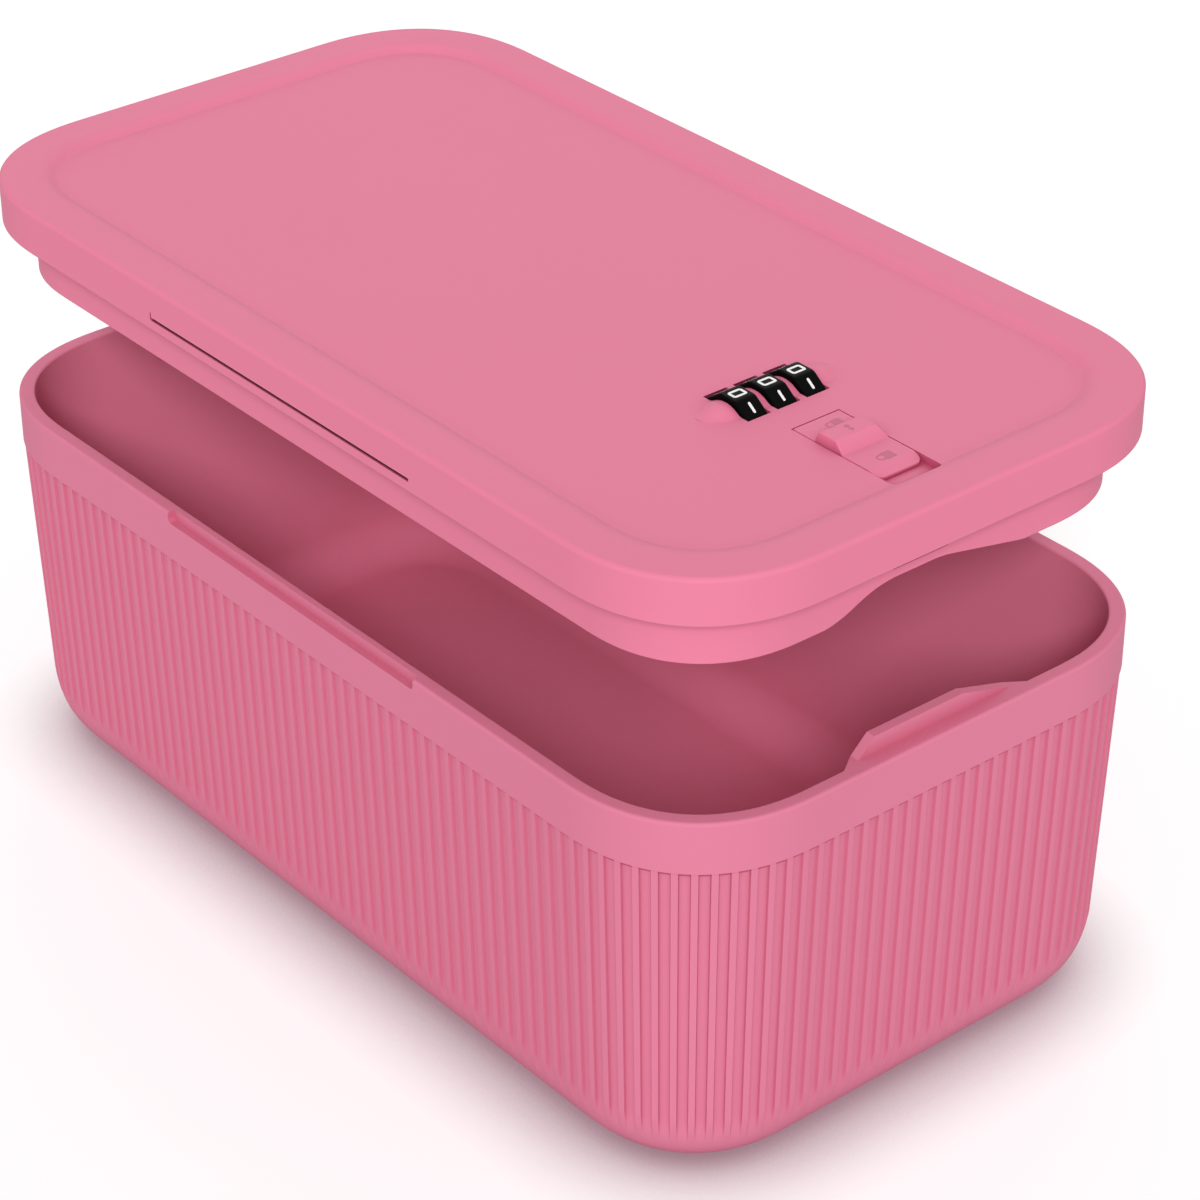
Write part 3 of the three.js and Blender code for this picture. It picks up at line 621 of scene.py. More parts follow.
@dataclass(frozen=True)
class PadPrint(Finish):
    """Pad-printed ink: a thin matt film that covers a little unevenly.

    Attributes:
        name: The material's name.
        colour: The ink's colour, sRGB.
        thin_colour: Its colour where the film is thin, sRGB.
        speck: The width of the unevenness.
        roughness: The lowest and highest roughness.
    """

    name: str
    colour: str
    thin_colour: str
    speck: float = 0.5
    roughness: Point2 = (0.55, 0.65)

    def surface(self, tree: bpy.types.NodeTree, place: bpy.types.NodeSocket) -> bpy.types.Node:
        """Adds the ink's specks and its dull face."""
        specks = self.noise(tree, place, self.speck, detail=2.0)
        return add_node(tree, "ShaderNodeBsdfPrincipled", {
            "Base Color": self.tinted(tree, specks, self.colour, self.thin_colour),
            "Roughness": self.ranged(tree, specks, *self.roughness), "IOR": 1.5,
        })


class Skin(Enum):
    """How a metal's surface was made, as how far its pattern is stretched along each axis."""

    DRAWN = (0.1, 1.0, 1.0)
    CAST = (1.0, 1.0, 1.0)


@dataclass(frozen=True)
class Metal(Finish):
    """A plated or bare metal, with lines along drawn and turned pieces, or the dull skin of a casting.

    Attributes:
        name: The material's name.
        colour: The metal's colour, sRGB.
        dull_colour: Its colour in duller patches, sRGB.
        skin: How the surface was made.
        roughness: Its roughness.
        pattern: The width of its lines or pits.
        depth: Their depth.
        wear: How much less and how much more rough a line or pit may be.
    """

    name: str
    colour: str
    dull_colour: str
    skin: Skin
    roughness: float
    pattern: float
    depth: float
    wear: Point2 = (0.06, 0.1)

    def surface(self, tree: bpy.types.NodeTree, place: bpy.types.NodeSocket) -> bpy.types.Node:
        """Adds the lines or pits and the metal's reflection."""
        ends = {0: place, 1: self.skin.value}
        stretched = add_node(tree, "ShaderNodeVectorMath", ends, operation="MULTIPLY")
        lines = self.noise(tree, stretched.outputs["Vector"], self.pattern, detail=3.0)
        less, more = self.wear
        return add_node(tree, "ShaderNodeBsdfPrincipled", {
            "Base Color": self.tinted(tree, lines, self.colour, self.dull_colour), "Metallic": 1.0,
            "Roughness": self.ranged(tree, lines, self.roughness - less, self.roughness + more),
            "Normal": self.bump(tree, lines, self.depth),
        })


class Finishes:
    """The finishes of the object's pieces."""

    def __init__(self) -> None:
        """Makes every material once."""
        # Satin pink polypropylene: matt enough to hide the mould's marks, and a shade deeper on the bin. The
        # third colour of each is painted shade, which darkens its grooves, corners and the feet of its
        # ledges.
        self.bin_pink = MouldedPolypropylene(
            "moulded_polypropylene_bin", "#e2829e", "#e0809c", "#d06d89", painted_shade_range=(0.6, 0.99),
        ).make()
        self.lid_pink = MouldedPolypropylene(
            "moulded_polypropylene_lid", "#eb84a1", "#e9829f", "#bb4c6d", painted_shade_range=(0.55, 0.98),
        ).make()
        # Black ABS, a little shiny, so that the dials' facets show.
        self.dial_black = MouldedAbs(
            "moulded_abs_black", "#020202", "#040404", roughness=0.5, gloss=0.04,
        ).make()
        # Grey ABS of the lock's frame and reset pin, which isn't meant to be seen.
        self.frame_grey = MouldedAbs("moulded_abs_grey", "#7f8084", "#8a8b8f", roughness=0.42).make()
        # White ink of the digits, and rose ink of the padlock signs, only a little darker than the plastic.
        self.white_ink = PadPrint("pad_print_white", "#fbfbfa", "#f2f2f1").make()
        self.rose_ink = PadPrint("pad_print_rose", "#c4607d", "#c76681").make()
        # Zinc-plated steel of the screws, axle and springs: bright, with fine lines from drawing and turning.
        self.steel = Metal("zinc_plated_steel", "#c9ccd0", "#b4b8bd", Skin.DRAWN, 0.28, 0.25, 0.004).make()
        # Die-cast zinc of the bolt and the sleeves: grey, dull and slightly pitted.
        self.zinc = Metal("die_cast_zinc", "#a9acb0", "#989ba0", Skin.CAST, 0.45, 0.4, 0.01).make()
        # A black strip behind the lid's slit, which stands in for the shade inside it: painted shade.
        self.slit_shade_black = MouldedAbs(
            "painted_slit_shade_black", "#030303", "#050505", roughness=0.7, gloss=0.1,
        ).make()


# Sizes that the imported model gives


def extent(node: str) -> tuple[Vector, Vector]:
    """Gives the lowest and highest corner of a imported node, in millimetres."""
    low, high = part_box(node)
    return low / MM, high / MM


@dataclass(frozen=True)
class Plan:
    """The plan that the bin and the lid share: straight sides and superellipse corners.

    Attributes:
        length: Its size along x.
        width: Its size along y.
        corner_radius: The corners' size.
        corner_power: 2 is a circle, and more makes the corner squarer.
        corner_steps: How finely a corner is measured.
    """

    length: float
    width: float
    corner_radius: float = 42.7
    corner_power: float = 2.35
    corner_steps: int = 240

    def traced(self) -> tuple[np.ndarray, np.ndarray, np.ndarray]:
        """Traces the outline finely.

        Returns:
            For each point its anchor, its direction and how far along the outline it lies. A point that lies
            inset by i is the anchor plus the direction times the corner's size less i.
        """
        middle = np.array((self.length / 2, self.width / 2)) - self.corner_radius
        angles = np.linspace(0, math.pi / 2, self.corner_steps + 1)
        quarter = np.stack([np.cos(angles), np.sin(angles)], axis=1).clip(0) ** (2 / self.corner_power)
        anchors, directions = [], []
        for turn, signs in enumerate(((1, 1), (-1, 1), (-1, -1), (1, -1))):
            cosine, sine = (round(f(turn * math.pi / 2)) for f in (math.cos, math.sin))
            directions.append(quarter @ np.array(((cosine, sine), (-sine, cosine))))
            anchors.append(np.tile(middle * signs, (len(quarter), 1)))
        anchor = np.concatenate([*anchors, anchors[0][:1]])
        direction = np.concatenate([*directions, directions[0][:1]])
        steps = np.linalg.norm(np.diff(anchor + self.corner_radius * direction, axis=0), axis=1)
        return anchor, direction, np.concatenate([[0.0], np.cumsum(steps)])

    def stations(self, shares: np.ndarray) -> np.ndarray:
        """Picks points along the outline.

        Args:
            shares: How far along the outline each point lies, from 0 to 1.

        Returns:
            One row for each point: its anchor and its direction.
        """
        anchor, direction, walked = self.traced()
        wanted = shares * walked[-1]
        return np.stack([np.interp(wanted, walked, side) for side in (*anchor.T, *direction.T)], axis=1)

    def even_stations(self, count: int) -> np.ndarray:
        """Picks evenly spaced points along the outline."""
        return self.stations((np.arange(count) + 0.5) / count)

    def ring(
        self, stations: np.ndarray, inset: float, height: float, depth: np.ndarray | float = 0.0,
    ) -> np.ndarray:
        """Makes one ring of points.

        Args:
            stations: What stations() gave.
            inset: How far it lies inside the outline.
            height: Its z.
            depth: How much further in each point lies.

        Returns:
            The ring, one row for each point.
        """
        reach = np.broadcast_to(self.corner_radius - inset - np.asarray(depth), (len(stations),))
        flat = stations[:, :2] + reach[:, None] * stations[:, 2:]
        return np.column_stack([flat, np.full(len(flat), height)])

    def length_round(self) -> float:
        """Measures all the way round the outline."""
        return float(self.traced()[2][-1])


# Bin


@dataclass
class Bin:
    """The ribbed bin, one moulding.

    Attributes:
        plan: The plan that it shares with the lid.
        height: From its underside to its rim.
        rib_profile: Along one rib's pitch, how far along each point lies and its share of the ribs' depth.
        rib_foot: The heights between which the ribs run out above the foot.
        undercut: How far below the band the grooves start to deepen and are deepest, and how many times.
        tongue_top: Where the tongue's level top starts and ends, along y.
        bead_drops: How far each rear bead lies below the rim.
        bead_taper: The power by which the beads thin out to their ends, and the least share that is left.
        slot_span: Where the latch bolt's slot starts and ends, along y.
    """

    plan: Plan
    height: float = 107.0
    band_height: float = 14.0
    band_step: float = 0.3
    band_edge: float = 0.12
    side_lean: float = 2.5
    bottom_round: float = 15.7
    rim_wall: float = 4.1
    foot_wall: float = 2.9
    floor: float = 2.8
    rim_round: float = 0.9
    rim_inner_round: float = 0.6
    rib_pitch: float = 4.7
    rib_depth: float = 0.65
    rib_profile: tuple[Point2, ...] = (
        (0.0, 0.0), (0.18, 0.0), (0.36, 0.0), (0.368, 0.1), (0.402, 0.9),
        (0.41, 1.0), (0.68, 1.0), (0.95, 1.0), (0.958, 0.9), (0.992, 0.1),
    )
    rib_foot: Point2 = (12.0, 18.5)
    undercut: Point3 = (1.1, 0.8, 2.4)
    rib_rings: int = 3
    round_steps: int = 12
    edge_steps: tuple[int, ...] = (3, 6, 4)
    notch_length: float = 104.0
    notch_depth: float = 3.0
    notch_width: float = 2.0
    notch_round: float = 1.4
    skirt_inset: float = 8.0
    lid_gap: float = 0.7
    keeper_height: float = 10.0
    keeper_foot_half: float = 30.6
    keeper_face_half: float = 24.5
    tongue_thickness: float = 2.6
    tongue_height: float = 4.6
    tongue_top: Point2 = (-19.5, 9.0)
    ease: float = 0.35
    shelf_height: float = 3.5
    bead_radius: float = 1.7
    bead_half: float = 24.0
    bead_drops: Point2 = (8.4, 12.6)
    bead_taper: Point2 = (6, 0.01)
    bead_rings: int = 41
    bead_points: int = 24
    slot_span: Point2 = (-12.35, 4.35)
    slot_reach: float = 3.55
    slot_drop: float = 5.053
    slot_height: float = 2.1

    @property
    def inner_end(self) -> float:
        """The x of the end wall's inner face."""
        return self.plan.length / 2 - self.rim_wall

    @property
    def keeper_face(self) -> float:
        """The x of the keeper's face, just outside the lid's skirt."""
        return self.plan.length / 2 - self.skirt_inset + self.lid_gap

    def rib_stations(self) -> tuple[np.ndarray, np.ndarray]:
        """Places the ribs.

        Returns:
            The stations round the plan, and the ribs' depth at each.
        """
        count = round(self.plan.length_round() / self.rib_pitch)
        along, shares = np.array(self.rib_profile).T
        places = (np.arange(count)[:, None] + along[None, :]).ravel() / count
        return self.plan.stations(places), np.tile(shares * self.rib_depth, count)

    def section(self) -> list[Point3]:
        """Gives the wall's section: an inset, a height and a share of the ribs' depth for each ring."""
        foot = self.band_step + self.side_lean
        band = self.height - self.band_height
        rows: list[Point3] = []
        for step in range(self.round_steps + 1):
            angle = (1 - step / self.round_steps) * math.pi / 2
            height = self.bottom_round * (1 - math.sin(angle))
            rows.append((foot + self.bottom_round * (1 - math.cos(angle)), height, 0.0))
        low, high = self.rib_foot
        for height in (*np.linspace(self.bottom_round, high, self.rib_rings + 1)[1:], band):
            climbed = (height - self.bottom_round) / (band - self.bottom_round)
            rows.append((foot - self.side_lean * climbed, height, 0.0))
        for i, (inset, height, _) in enumerate(rows):
            share = min(max((height - low) / (high - low), 0.0), 1.0)
            rows[i] = (inset + self.rib_depth * (1 - share), height, share)
        start, end, share = self.undercut
        inset = self.band_step
        rows[-1:] = [(inset, band - start, 1.0), (inset, band - end, share), (inset, band, share)]
        edge = (self.band_edge, band + self.band_edge)
        rim = (self.rim_round, self.height - self.rim_round)
        inner = (self.rim_wall - self.rim_inner_round, self.height - self.rim_inner_round)
        edge_steps, rim_steps, inner_steps = self.edge_steps
        plain = [
            *arc(edge, self.band_edge, 270, 180, edge_steps), *arc(rim, self.rim_round, 180, 90, rim_steps),
            *arc(inner, self.rim_inner_round, 90, 0, inner_steps), (self.rim_wall, band),
        ]
        hollow = self.bottom_round - self.foot_wall
        for step in range(self.round_steps + 1):
            angle = step / self.round_steps * math.pi / 2
            inset = foot + self.foot_wall + hollow * (1 - math.cos(angle))
            plain.append((inset, self.floor + hollow * (1 - math.sin(angle))))
        return [*rows, *((x, z, 0.0) for x, z in plain)]

    def walls(self) -> Form:
        """Makes the bin without its keeper, shelf and notch."""
        stations, depths = self.rib_stations()
        return loft([self.plan.ring(stations, x, z, share * depths) for x, z, share in self.section()])

    def growth(self, end: int, rows: Sequence[Point2]) -> Form:
        """Makes a stretch of an end wall that stands further in.

        Args:
            end: 1 at the latch end and -1 at the rear.
            rows: Where its face lies at each height, from the lowest up, as an x and a z.

        Returns:
            The form.
        """
        rings = []
        depth = self.inner_end - self.keeper_face
        foot, wall = self.keeper_foot_half, self.inner_end + OVERRUN
        for face, height in rows:
            half = foot + (self.inner_end - face) / depth * (self.keeper_face_half - foot)
            corners = [(wall, -foot), (wall, foot), (face, half), (face, -half)]
            ring = np.array([(end * x, y, height) for x, y in corners])
            rings.append(ring if end > 0 else ring[::-1])
        return eased(loft(rings), self.ease)

    def keeper(self) -> Form:
        """Makes the latch end's keeper, which grows out of the wall at a slant."""
        low = self.height - self.keeper_height
        grown = low + self.inner_end - self.keeper_face
        start = self.inner_end + OVERRUN / 2
        face = self.keeper_face
        return self.growth(1, [(start, low - OVERRUN / 2), (face, grown), (face, self.height)])

    def shelf(self) -> Form:
        """Makes the rear shelf, which has a flat underside with a small gusset behind it."""
        depth = self.inner_end - self.keeper_face
        under = self.height - self.shelf_height
        gusset = self.inner_end - depth / 2
        start = self.inner_end + OVERRUN / 2
        return self.growth(-1, [
            (start, under - depth - OVERRUN / 2), (gusset, under - depth / 2), (gusset, under),
            (self.keeper_face, under), (self.keeper_face, self.height),
        ])

    def tongue(self) -> Form:
        """Makes the tongue that stands up from the keeper, with its slanted ends."""
        half = self.keeper_face_half
        low = self.height - 2 * self.tongue_thickness
        start, end = self.tongue_top
        top = self.height + self.tongue_height
        outline = [
            (-half, low), (half, low), (half, self.height), (end, top), (start, top), (-half, self.height),
        ]
        face = self.keeper_face
        return eased(prism(Axis.X, outline, face, face + self.tongue_thickness), self.ease)

    def beads(self) -> Form:
        """Makes the rear wall's two half-round snap beads, with tapered ends."""
        forms = []
        power, least = self.bead_taper
        for drop in self.bead_drops:
            rings = []
            for along in np.linspace(-1, 1, self.bead_rings):
                size = self.bead_radius * math.sqrt(max(1 - abs(along) ** power, least))
                outline = circle(size, self.bead_points, (self.height - drop, -self.inner_end))
                rings.append(flat_ring(Axis.Y, outline, along * self.bead_half))
            forms.append(loft(rings))
        return merged(forms)

    def slot(self) -> Form:
        """Makes the cut for the latch bolt."""
        middle = self.height - self.slot_drop
        half = self.slot_height / 2
        start, end = self.slot_span
        face = self.keeper_face
        return block((face - OVERRUN, start, middle - half), (face + self.slot_reach, end, middle + half))

    def notch(self) -> Form:
        """Makes the cut for the finger notch in the front rim, with round corners at its foot."""
        edge = -self.plan.width / 2
        half = self.notch_length / 2
        low = self.height - self.notch_depth
        high = self.height + 2 * self.notch_round
        outline = filleted([(low, -half), (high, -half), (high, half), (low, half)], self.notch_round)
        return prism(Axis.Y, outline, edge - OVERRUN, edge + self.notch_width)

    def build(self, finishes: Finishes) -> None:
        """Makes the bin and puts it into the scene.

        Args:
            finishes: The object's finishes.
        """
        mesh = carved("bin_body", self.walls(), [
            (Cut.ADD, self.keeper()), (Cut.ADD, self.tongue()), (Cut.ADD, self.shelf()),
            (Cut.ADD, self.beads()), (Cut.TAKE, self.slot()), (Cut.TAKE, self.notch()),
        ])
        show("bin_body", mesh, finishes.bin_pink, "bin", ["bin_shell"])


# Lid


@dataclass
class LockPlace:
    """Where the lock's pieces stand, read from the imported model. Heights are from the lid's top edge.

    Attributes:
        lid_top: The height of the lid's top edge above the floor.
        axle_x: The dial axle's x.
        axle_z: Its height.
        dial_ys: The middle of each dial, along y.
        dial_width: A dial's width.
        dial_corner: From the axle to a dial's corners.
        button_start: The button's rear end.
        button_length: The button's length.
        button_width: Its width.
        cover_start: The lock cover's rear end.
        cover_end: Its front end.
        cover_half: Half its width.
    """

    lid_top: float
    axle_x: float
    axle_z: float
    dial_ys: tuple[float, ...]
    dial_width: float
    dial_corner: float
    button_start: float
    button_length: float
    button_width: float
    cover_start: float
    cover_end: float
    cover_half: float

    @classmethod
    def read(cls, lid_depth: float) -> "LockPlace":
        """Reads the places.

        Args:
            lid_depth: From the lid's top edge down to its skirt's lower edge.

        Returns:
            The places.
        """
        lid_top = extent("lid_shell")[0].z + lid_depth
        dials = [extent(f"dial_wheel_{i}") for i in (1, 2, 3)]
        low, high = dials[0]
        button_low, button_high = extent("slide_button")
        cover_low, cover_high = extent("lock_cover")
        middle = (low + high) / 2
        return cls(
            lid_top=lid_top, axle_x=middle.x, axle_z=middle.z - lid_top,
            dial_ys=tuple((a.y + b.y) / 2 for a, b in dials), dial_width=high.y - low.y,
            dial_corner=(high.x - low.x) / 2, button_start=button_low.x,
            button_length=button_high.x - button_low.x, button_width=button_high.y - button_low.y,
            cover_start=cover_low.x, cover_end=cover_high.x, cover_half=cover_high.y,
        )


@dataclass
class Lid:
    """The lid, one moulding, with the pockets and windows of its lock.

    Attributes:
        plan: The plan that it shares with the bin.
        place: Where the lock's pieces stand.
        slope_bias: 1 is an even slope down to the panel, and more makes it steeper at its foot.
        arch_top: Where the level top of the latch end's arch starts and ends, along y.
        arch_clear: How far the arches' cuts stay below the skirt's lower edge beside the arch.
        fairing_grid: How many points the fairing has across and along.
        fairing_tail: Its least radius, beyond its tips.
        fairing_sink: How far it starts under the panel's face.
        post_drops: How far below the top edge the cover screws' bosses end and their holes end.
    """

    plan: Plan
    place: LockPlace
    rim_height: float = 12.35
    edge_round: float = 1.3
    foot_round: float = 0.4
    wall: float = 2.3
    thickness: float = 2.6
    border: float = 8.5
    slope: float = 6.5
    recess: float = 1.6
    slope_steps: int = 12
    slope_bias: float = 1.6
    outline_points: int = 720
    skirt_inset: float = 8.0
    skirt_thickness: float = 2.0
    skirt_drop: float = 14.85
    arch_rise: float = 6.0
    arch_half: float = 31.0
    arch_top: Point2 = (-17.0, 3.0)
    arch_ease: float = 30.0
    arch_steps: int = 10
    arch_clear: float = 0.02
    bolt_opening: tuple[Point2, Point2] = ((-12.65, 4.65), (-19.053, -16.353))
    slit_length: float = 106.0
    slit_height: float = 0.9
    slit_above_edge: float = 2.7
    slit_tick: Point2 = (0.5, 1.3)
    strip_setback: float = 0.5
    strip_depth: float = 1.2
    strip_gap: float = 0.02
    strip_ease: float = 0.1
    rib_height: float = 2.0
    rib_width: float = 1.4
    rib_start: float = 32.0
    rib_to_cover: float = 7.4
    rib_side_inset: float = 22.5
    rib_rows: int = 3
    rib_columns: int = 5
    run_gap: float = 0.35
    close_gap: float = 0.04
    window_gap: float = 0.65
    relief_radius: float = 4.75
    relief_span: Point2 = (-14.0, 17.75)
    fairing_radius: float = 7.6
    fairing_half: float = 13.6
    fairing_tip: float = 6.9
    fairing_blend: float = 0.9
    fairing_grid: tuple[int, int] = (61, 121)
    fairing_tail: float = 0.1
    fairing_sink: float = 0.004
    pocket_length: float = 35.7
    pocket_depth: float = 2.0
    pocket_floor: float = 1.8
    pocket_corner: float = 2.8
    stem_slot: tuple[Point2, float] = ((6.15, 26.85), 4.35)
    screw_inset: float = 4.7
    post_radius: float = 2.7
    hole_radius: float = 1.4
    post_drops: Point2 = (12.0, 5.0)
    post_steps: int = 32
    window_steps: int = 96

    @property
    def panel(self) -> float:
        """The panel's top face."""
        return -self.recess

    @property
    def panel_under(self) -> float:
        """The panel's underside."""
        return self.panel - self.thickness

    @property
    def depth(self) -> float:
        """From the top edge down to the skirt's lower edge."""
        return self.rim_height + self.skirt_drop

    def section(self) -> list[Point2]:
        """Gives the lid's section from the panel's underside out, up and back in over its top."""
        shoulder = (self.edge_round, -self.edge_round)
        foot = (self.foot_round, self.foot_round - self.rim_height)
        rows = [
            (self.border + self.slope, self.panel_under), (self.border, -self.thickness),
            (self.wall, -self.thickness), (self.wall, -self.rim_height),
            *arc(foot, self.foot_round, 270, 180, 4), *arc(shoulder, self.edge_round, 180, 90, 8),
        ]
        for step in range(self.slope_steps + 1):
            share = step / self.slope_steps
            sunk = self.panel * (1 - math.cos(share ** self.slope_bias * math.pi)) / 2
            rows.append((self.border + self.slope * share, sunk))
        return rows

    def top(self) -> Form:
        """Makes the lid's top and rim."""
        stations = self.plan.even_stations(self.outline_points)
        return loft([self.plan.ring(stations, x, z) for x, z in self.section()])

    def skirt(self) -> Form:
        """Makes the skirt that goes into the bin, before its arches are cut."""
        stations = self.plan.even_stations(self.outline_points)
        outer, inner = self.skirt_inset, self.skirt_inset + self.skirt_thickness
        low, high = -self.depth, -self.thickness / 2
        ease = self.foot_round
        rows = [
            *arc((inner - ease, low + ease), ease, 360, 270, 3),
            *arc((outer + ease, low + ease), ease, 270, 180, 3), (outer, high), (inner, high),
        ]
        return loft([self.plan.ring(stations, x, z) for x, z in rows], closed=True)

    def arch(self, end: int) -> Form:
        """Makes the cut for the arch in the skirt's lower edge.

        Args:
            end: 1 at the latch end, where it leans to one side, and -1 at the rear.

        Returns:
            The form.
        """
        bottom = -self.depth
        under = bottom - OVERRUN
        start, stop = self.arch_top
        stop = stop if end > 0 else -start
        far = 2 * self.arch_half
        top = bottom + self.arch_rise
        level = bottom - self.arch_clear
        outline = filleted([
            (-far, under), (far, under), (far, level), (self.arch_half, level), (stop, top),
            (start, top), (-self.arch_half, level), (-far, level),
        ], self.arch_ease, self.arch_steps)
        ends = sorted((end * self.plan.length / 4, end * self.plan.length / 2))
        return prism(Axis.X, outline, *ends)

    def fairing(self) -> Form:
        """Makes the low spindle round the dials, which flows into the panel."""
        flush = self.place.axle_z - self.panel
        reach = self.fairing_half + self.fairing_tip
        width = self.fairing_radius + self.fairing_blend
        columns, rows = self.fairing_grid
        ys = np.linspace(-reach - self.fairing_blend, reach + self.fairing_blend, rows)
        grid_x, grid_y = np.meshgrid(np.linspace(-width, width, columns), ys)
        along = np.clip((np.abs(grid_y) - self.fairing_half) / self.fairing_tip, 0, None)
        rise = (self.fairing_radius + flush) * (1 - along ** 2)
        radius = np.maximum(rise - flush, self.fairing_tail)
        crown = np.sqrt(np.maximum(radius ** 2 - grid_x ** 2, 0)) + flush
        nearness = np.clip(self.fairing_blend - np.abs(crown), 0, None)
        lift = np.maximum(crown, 0) + nearness ** 2 / self.fairing_blend / 4 - self.fairing_sink
        x = (grid_x + self.place.axle_x).ravel()
        size = rows * columns
        top = np.column_stack([x, grid_y.ravel(), (self.panel + lift).ravel()])
        base = np.column_stack([x, grid_y.ravel(), np.full(size, (self.panel + self.panel_under) / 2)])
        faces = []
        for row in range(rows - 1):
            for column in range(columns - 1):
                a = row * columns + column
                faces.append((a, a + 1, a + columns + 1, a + columns))
                faces.append((size + a, size + a + columns, size + a + columns + 1, size + a + 1))
        edge = [
            *range(columns), *range(2 * columns - 1, size, columns),
            *range(size - 2, size - columns - 1, -1), *range(size - 2 * columns, 0, -columns),
        ]
        for a, b in zip(edge, [*edge[1:], edge[0]]):
            faces.append((size + a, size + b, b, a))
        return Form(np.concatenate([top, base]), faces)

    def on_axle(self, radius: float, low: float, high: float) -> Form:
        """Makes a round form along the dial axle."""
        outline = circle(radius, self.window_steps, (self.place.axle_z, self.place.axle_x))
        return prism(Axis.Y, outline, low, high)

    def windows(self) -> Form:
        """Makes the cuts through which the dials stand."""
        half = self.place.dial_width / 2 + self.run_gap
        radius = self.place.dial_corner + self.window_gap
        return merged(self.on_axle(radius, y - half, y + half) for y in self.place.dial_ys)

    def pocket(self) -> Form:
        """Makes the cut in which the button slides."""
        start = self.place.button_start - self.close_gap
        end = start + self.pocket_length
        half = self.place.button_width / 2
        near, far = -half - self.run_gap, half + self.close_gap
        corners = [(start, near), (end, near), (end, far), (start, far)]
        outline = filleted(corners, self.pocket_corner, closed=False)
        return prism(Axis.Z, outline, self.panel - self.pocket_depth, OVERRUN)

    def pad(self) -> Form:
        """Makes the pocket's floor and walls under the panel."""
        start = self.place.button_start
        half = self.place.button_width / 2 + self.pocket_floor
        low = self.panel - self.pocket_depth - self.pocket_floor
        end = start + self.pocket_length
        return block((start - self.pocket_floor, -half, low), (end, half, self.panel_under + self.run_gap))

    def stem_cut(self) -> Form:
        """Makes the slot in the pocket's floor for the button's stem."""
        (start, end), half = self.stem_slot
        low = self.panel - self.pocket_depth - self.pocket_floor - OVERRUN
        x = self.place.button_start
        return block((x + start, -half, low), (x + end, half, self.panel))

    def slit(self) -> list[Form]:
        """Makes the cuts of the long slit in the front of the rim and of the small tick over its rear end."""
        face = -self.plan.width / 2
        low = self.slit_above_edge - self.rim_height
        half = self.slit_length / 2
        width, rise = self.slit_tick
        high = low + self.slit_height
        start = face - OVERRUN
        return [
            block((-half, start, low), (half, face + self.wall + OVERRUN, high)),
            block((-half - width, start, high - rise / 2), (-half, face + self.strip_setback, high + rise)),
        ]

    def strip(self) -> Form:
        """Makes the black strip that fills the slit from behind, a sheet of painted shade that makes the slit
        look dark inside.
        """
        face = -self.plan.width / 2 + self.strip_setback
        low = self.slit_above_edge - self.rim_height + self.strip_gap
        half = self.slit_length / 2 - self.strip_gap
        high = low + self.slit_height - 2 * self.strip_gap
        return eased(block((-half, face, low), (half, face + self.strip_depth, high)), self.strip_ease)

    def posts(self, radius: float, low: float, high: float) -> Form:
        """Makes a round form at each cover screw."""
        ends = (self.place.cover_start + self.screw_inset, self.place.cover_end - self.screw_inset)
        side = self.place.cover_half - self.screw_inset
        places = [(x, y) for x in ends for y in (-side, side)]
        return merged(prism(Axis.Z, circle(radius, self.post_steps, p), low, high) for p in places)

    def stiffeners(self) -> tuple[Form, Form]:
        """Makes the low ribs under the panel, lengthways and crossways."""
        start = self.rib_start - self.plan.length / 2
        end = self.place.cover_start - self.rib_to_cover
        half = self.plan.width / 2 - self.rib_side_inset
        side = self.rib_width / 2
        low, high = self.panel_under - self.rib_height, self.panel_under + OVERRUN
        rows = [(2 * (row + 1) / (self.rib_rows + 1) - 1) * half for row in range(self.rib_rows)]
        columns = np.linspace(start + self.rib_width, end - self.rib_width, self.rib_columns)
        return (
            merged(block((start, y - side, low), (end, y + side, high)) for y in rows),
            merged(block((x - side, -half, low), (x + side, half, high)) for x in columns),
        )

    def build(self, finishes: Finishes) -> None:
        """Makes the lid and puts it into the scene.

        Args:
            finishes: The object's finishes.
        """
        (y0, y1), (z0, z1) = self.bolt_opening
        outer = self.plan.length / 2 - self.skirt_inset
        opening = block((outer - self.skirt_thickness - OVERRUN, y0, z0), (outer + OVERRUN, y1, z1))
        boss_drop, hole_drop = self.post_drops
        bosses = self.posts(self.post_radius, -boss_drop, -self.thickness)
        holes = self.posts(self.hole_radius, -boss_drop - OVERRUN, -hole_drop)
        lengthways, crossways = self.stiffeners()
        mesh = carved("lid_body", self.top(), [
            (Cut.ADD, self.skirt()), (Cut.TAKE, self.arch(1)), (Cut.TAKE, self.arch(-1)), (Cut.TAKE, opening),
            (Cut.ADD, self.pad()), (Cut.ADD, bosses), (Cut.ADD, lengthways), (Cut.ADD, crossways),
            (Cut.ADD, self.fairing()), (Cut.TAKE, self.pocket()), (Cut.TAKE, self.stem_cut()),
            *[(Cut.TAKE, cut) for cut in self.slit()],
            (Cut.TAKE, self.on_axle(self.relief_radius, *self.relief_span)), (Cut.TAKE, holes),
            (Cut.TAKE, self.windows()),
        ])
        lift = Matrix.Translation((0, 0, self.place.lid_top * MM))
        mesh.transform(lift)
        show("lid_body", mesh, finishes.lid_pink, "lid", ["lid_shell"])
        # The black strip is painted shade: it stands where the slit's inside would only be in shadow.
        strip = self.strip().mesh("slit_strip")
        strip.transform(lift)
        show("slit_strip", strip, finishes.slit_shade_black, "lid")


# Lock


@dataclass(frozen=True)
class Stroke:
    """One stroke of a digit or sign.

    Attributes:
        corners: The corners of its middle line, from -1 to 1 across and up.
        closed: True if it is a loop.
    """

    corners: tuple[Point2, ...]
    closed: bool = False


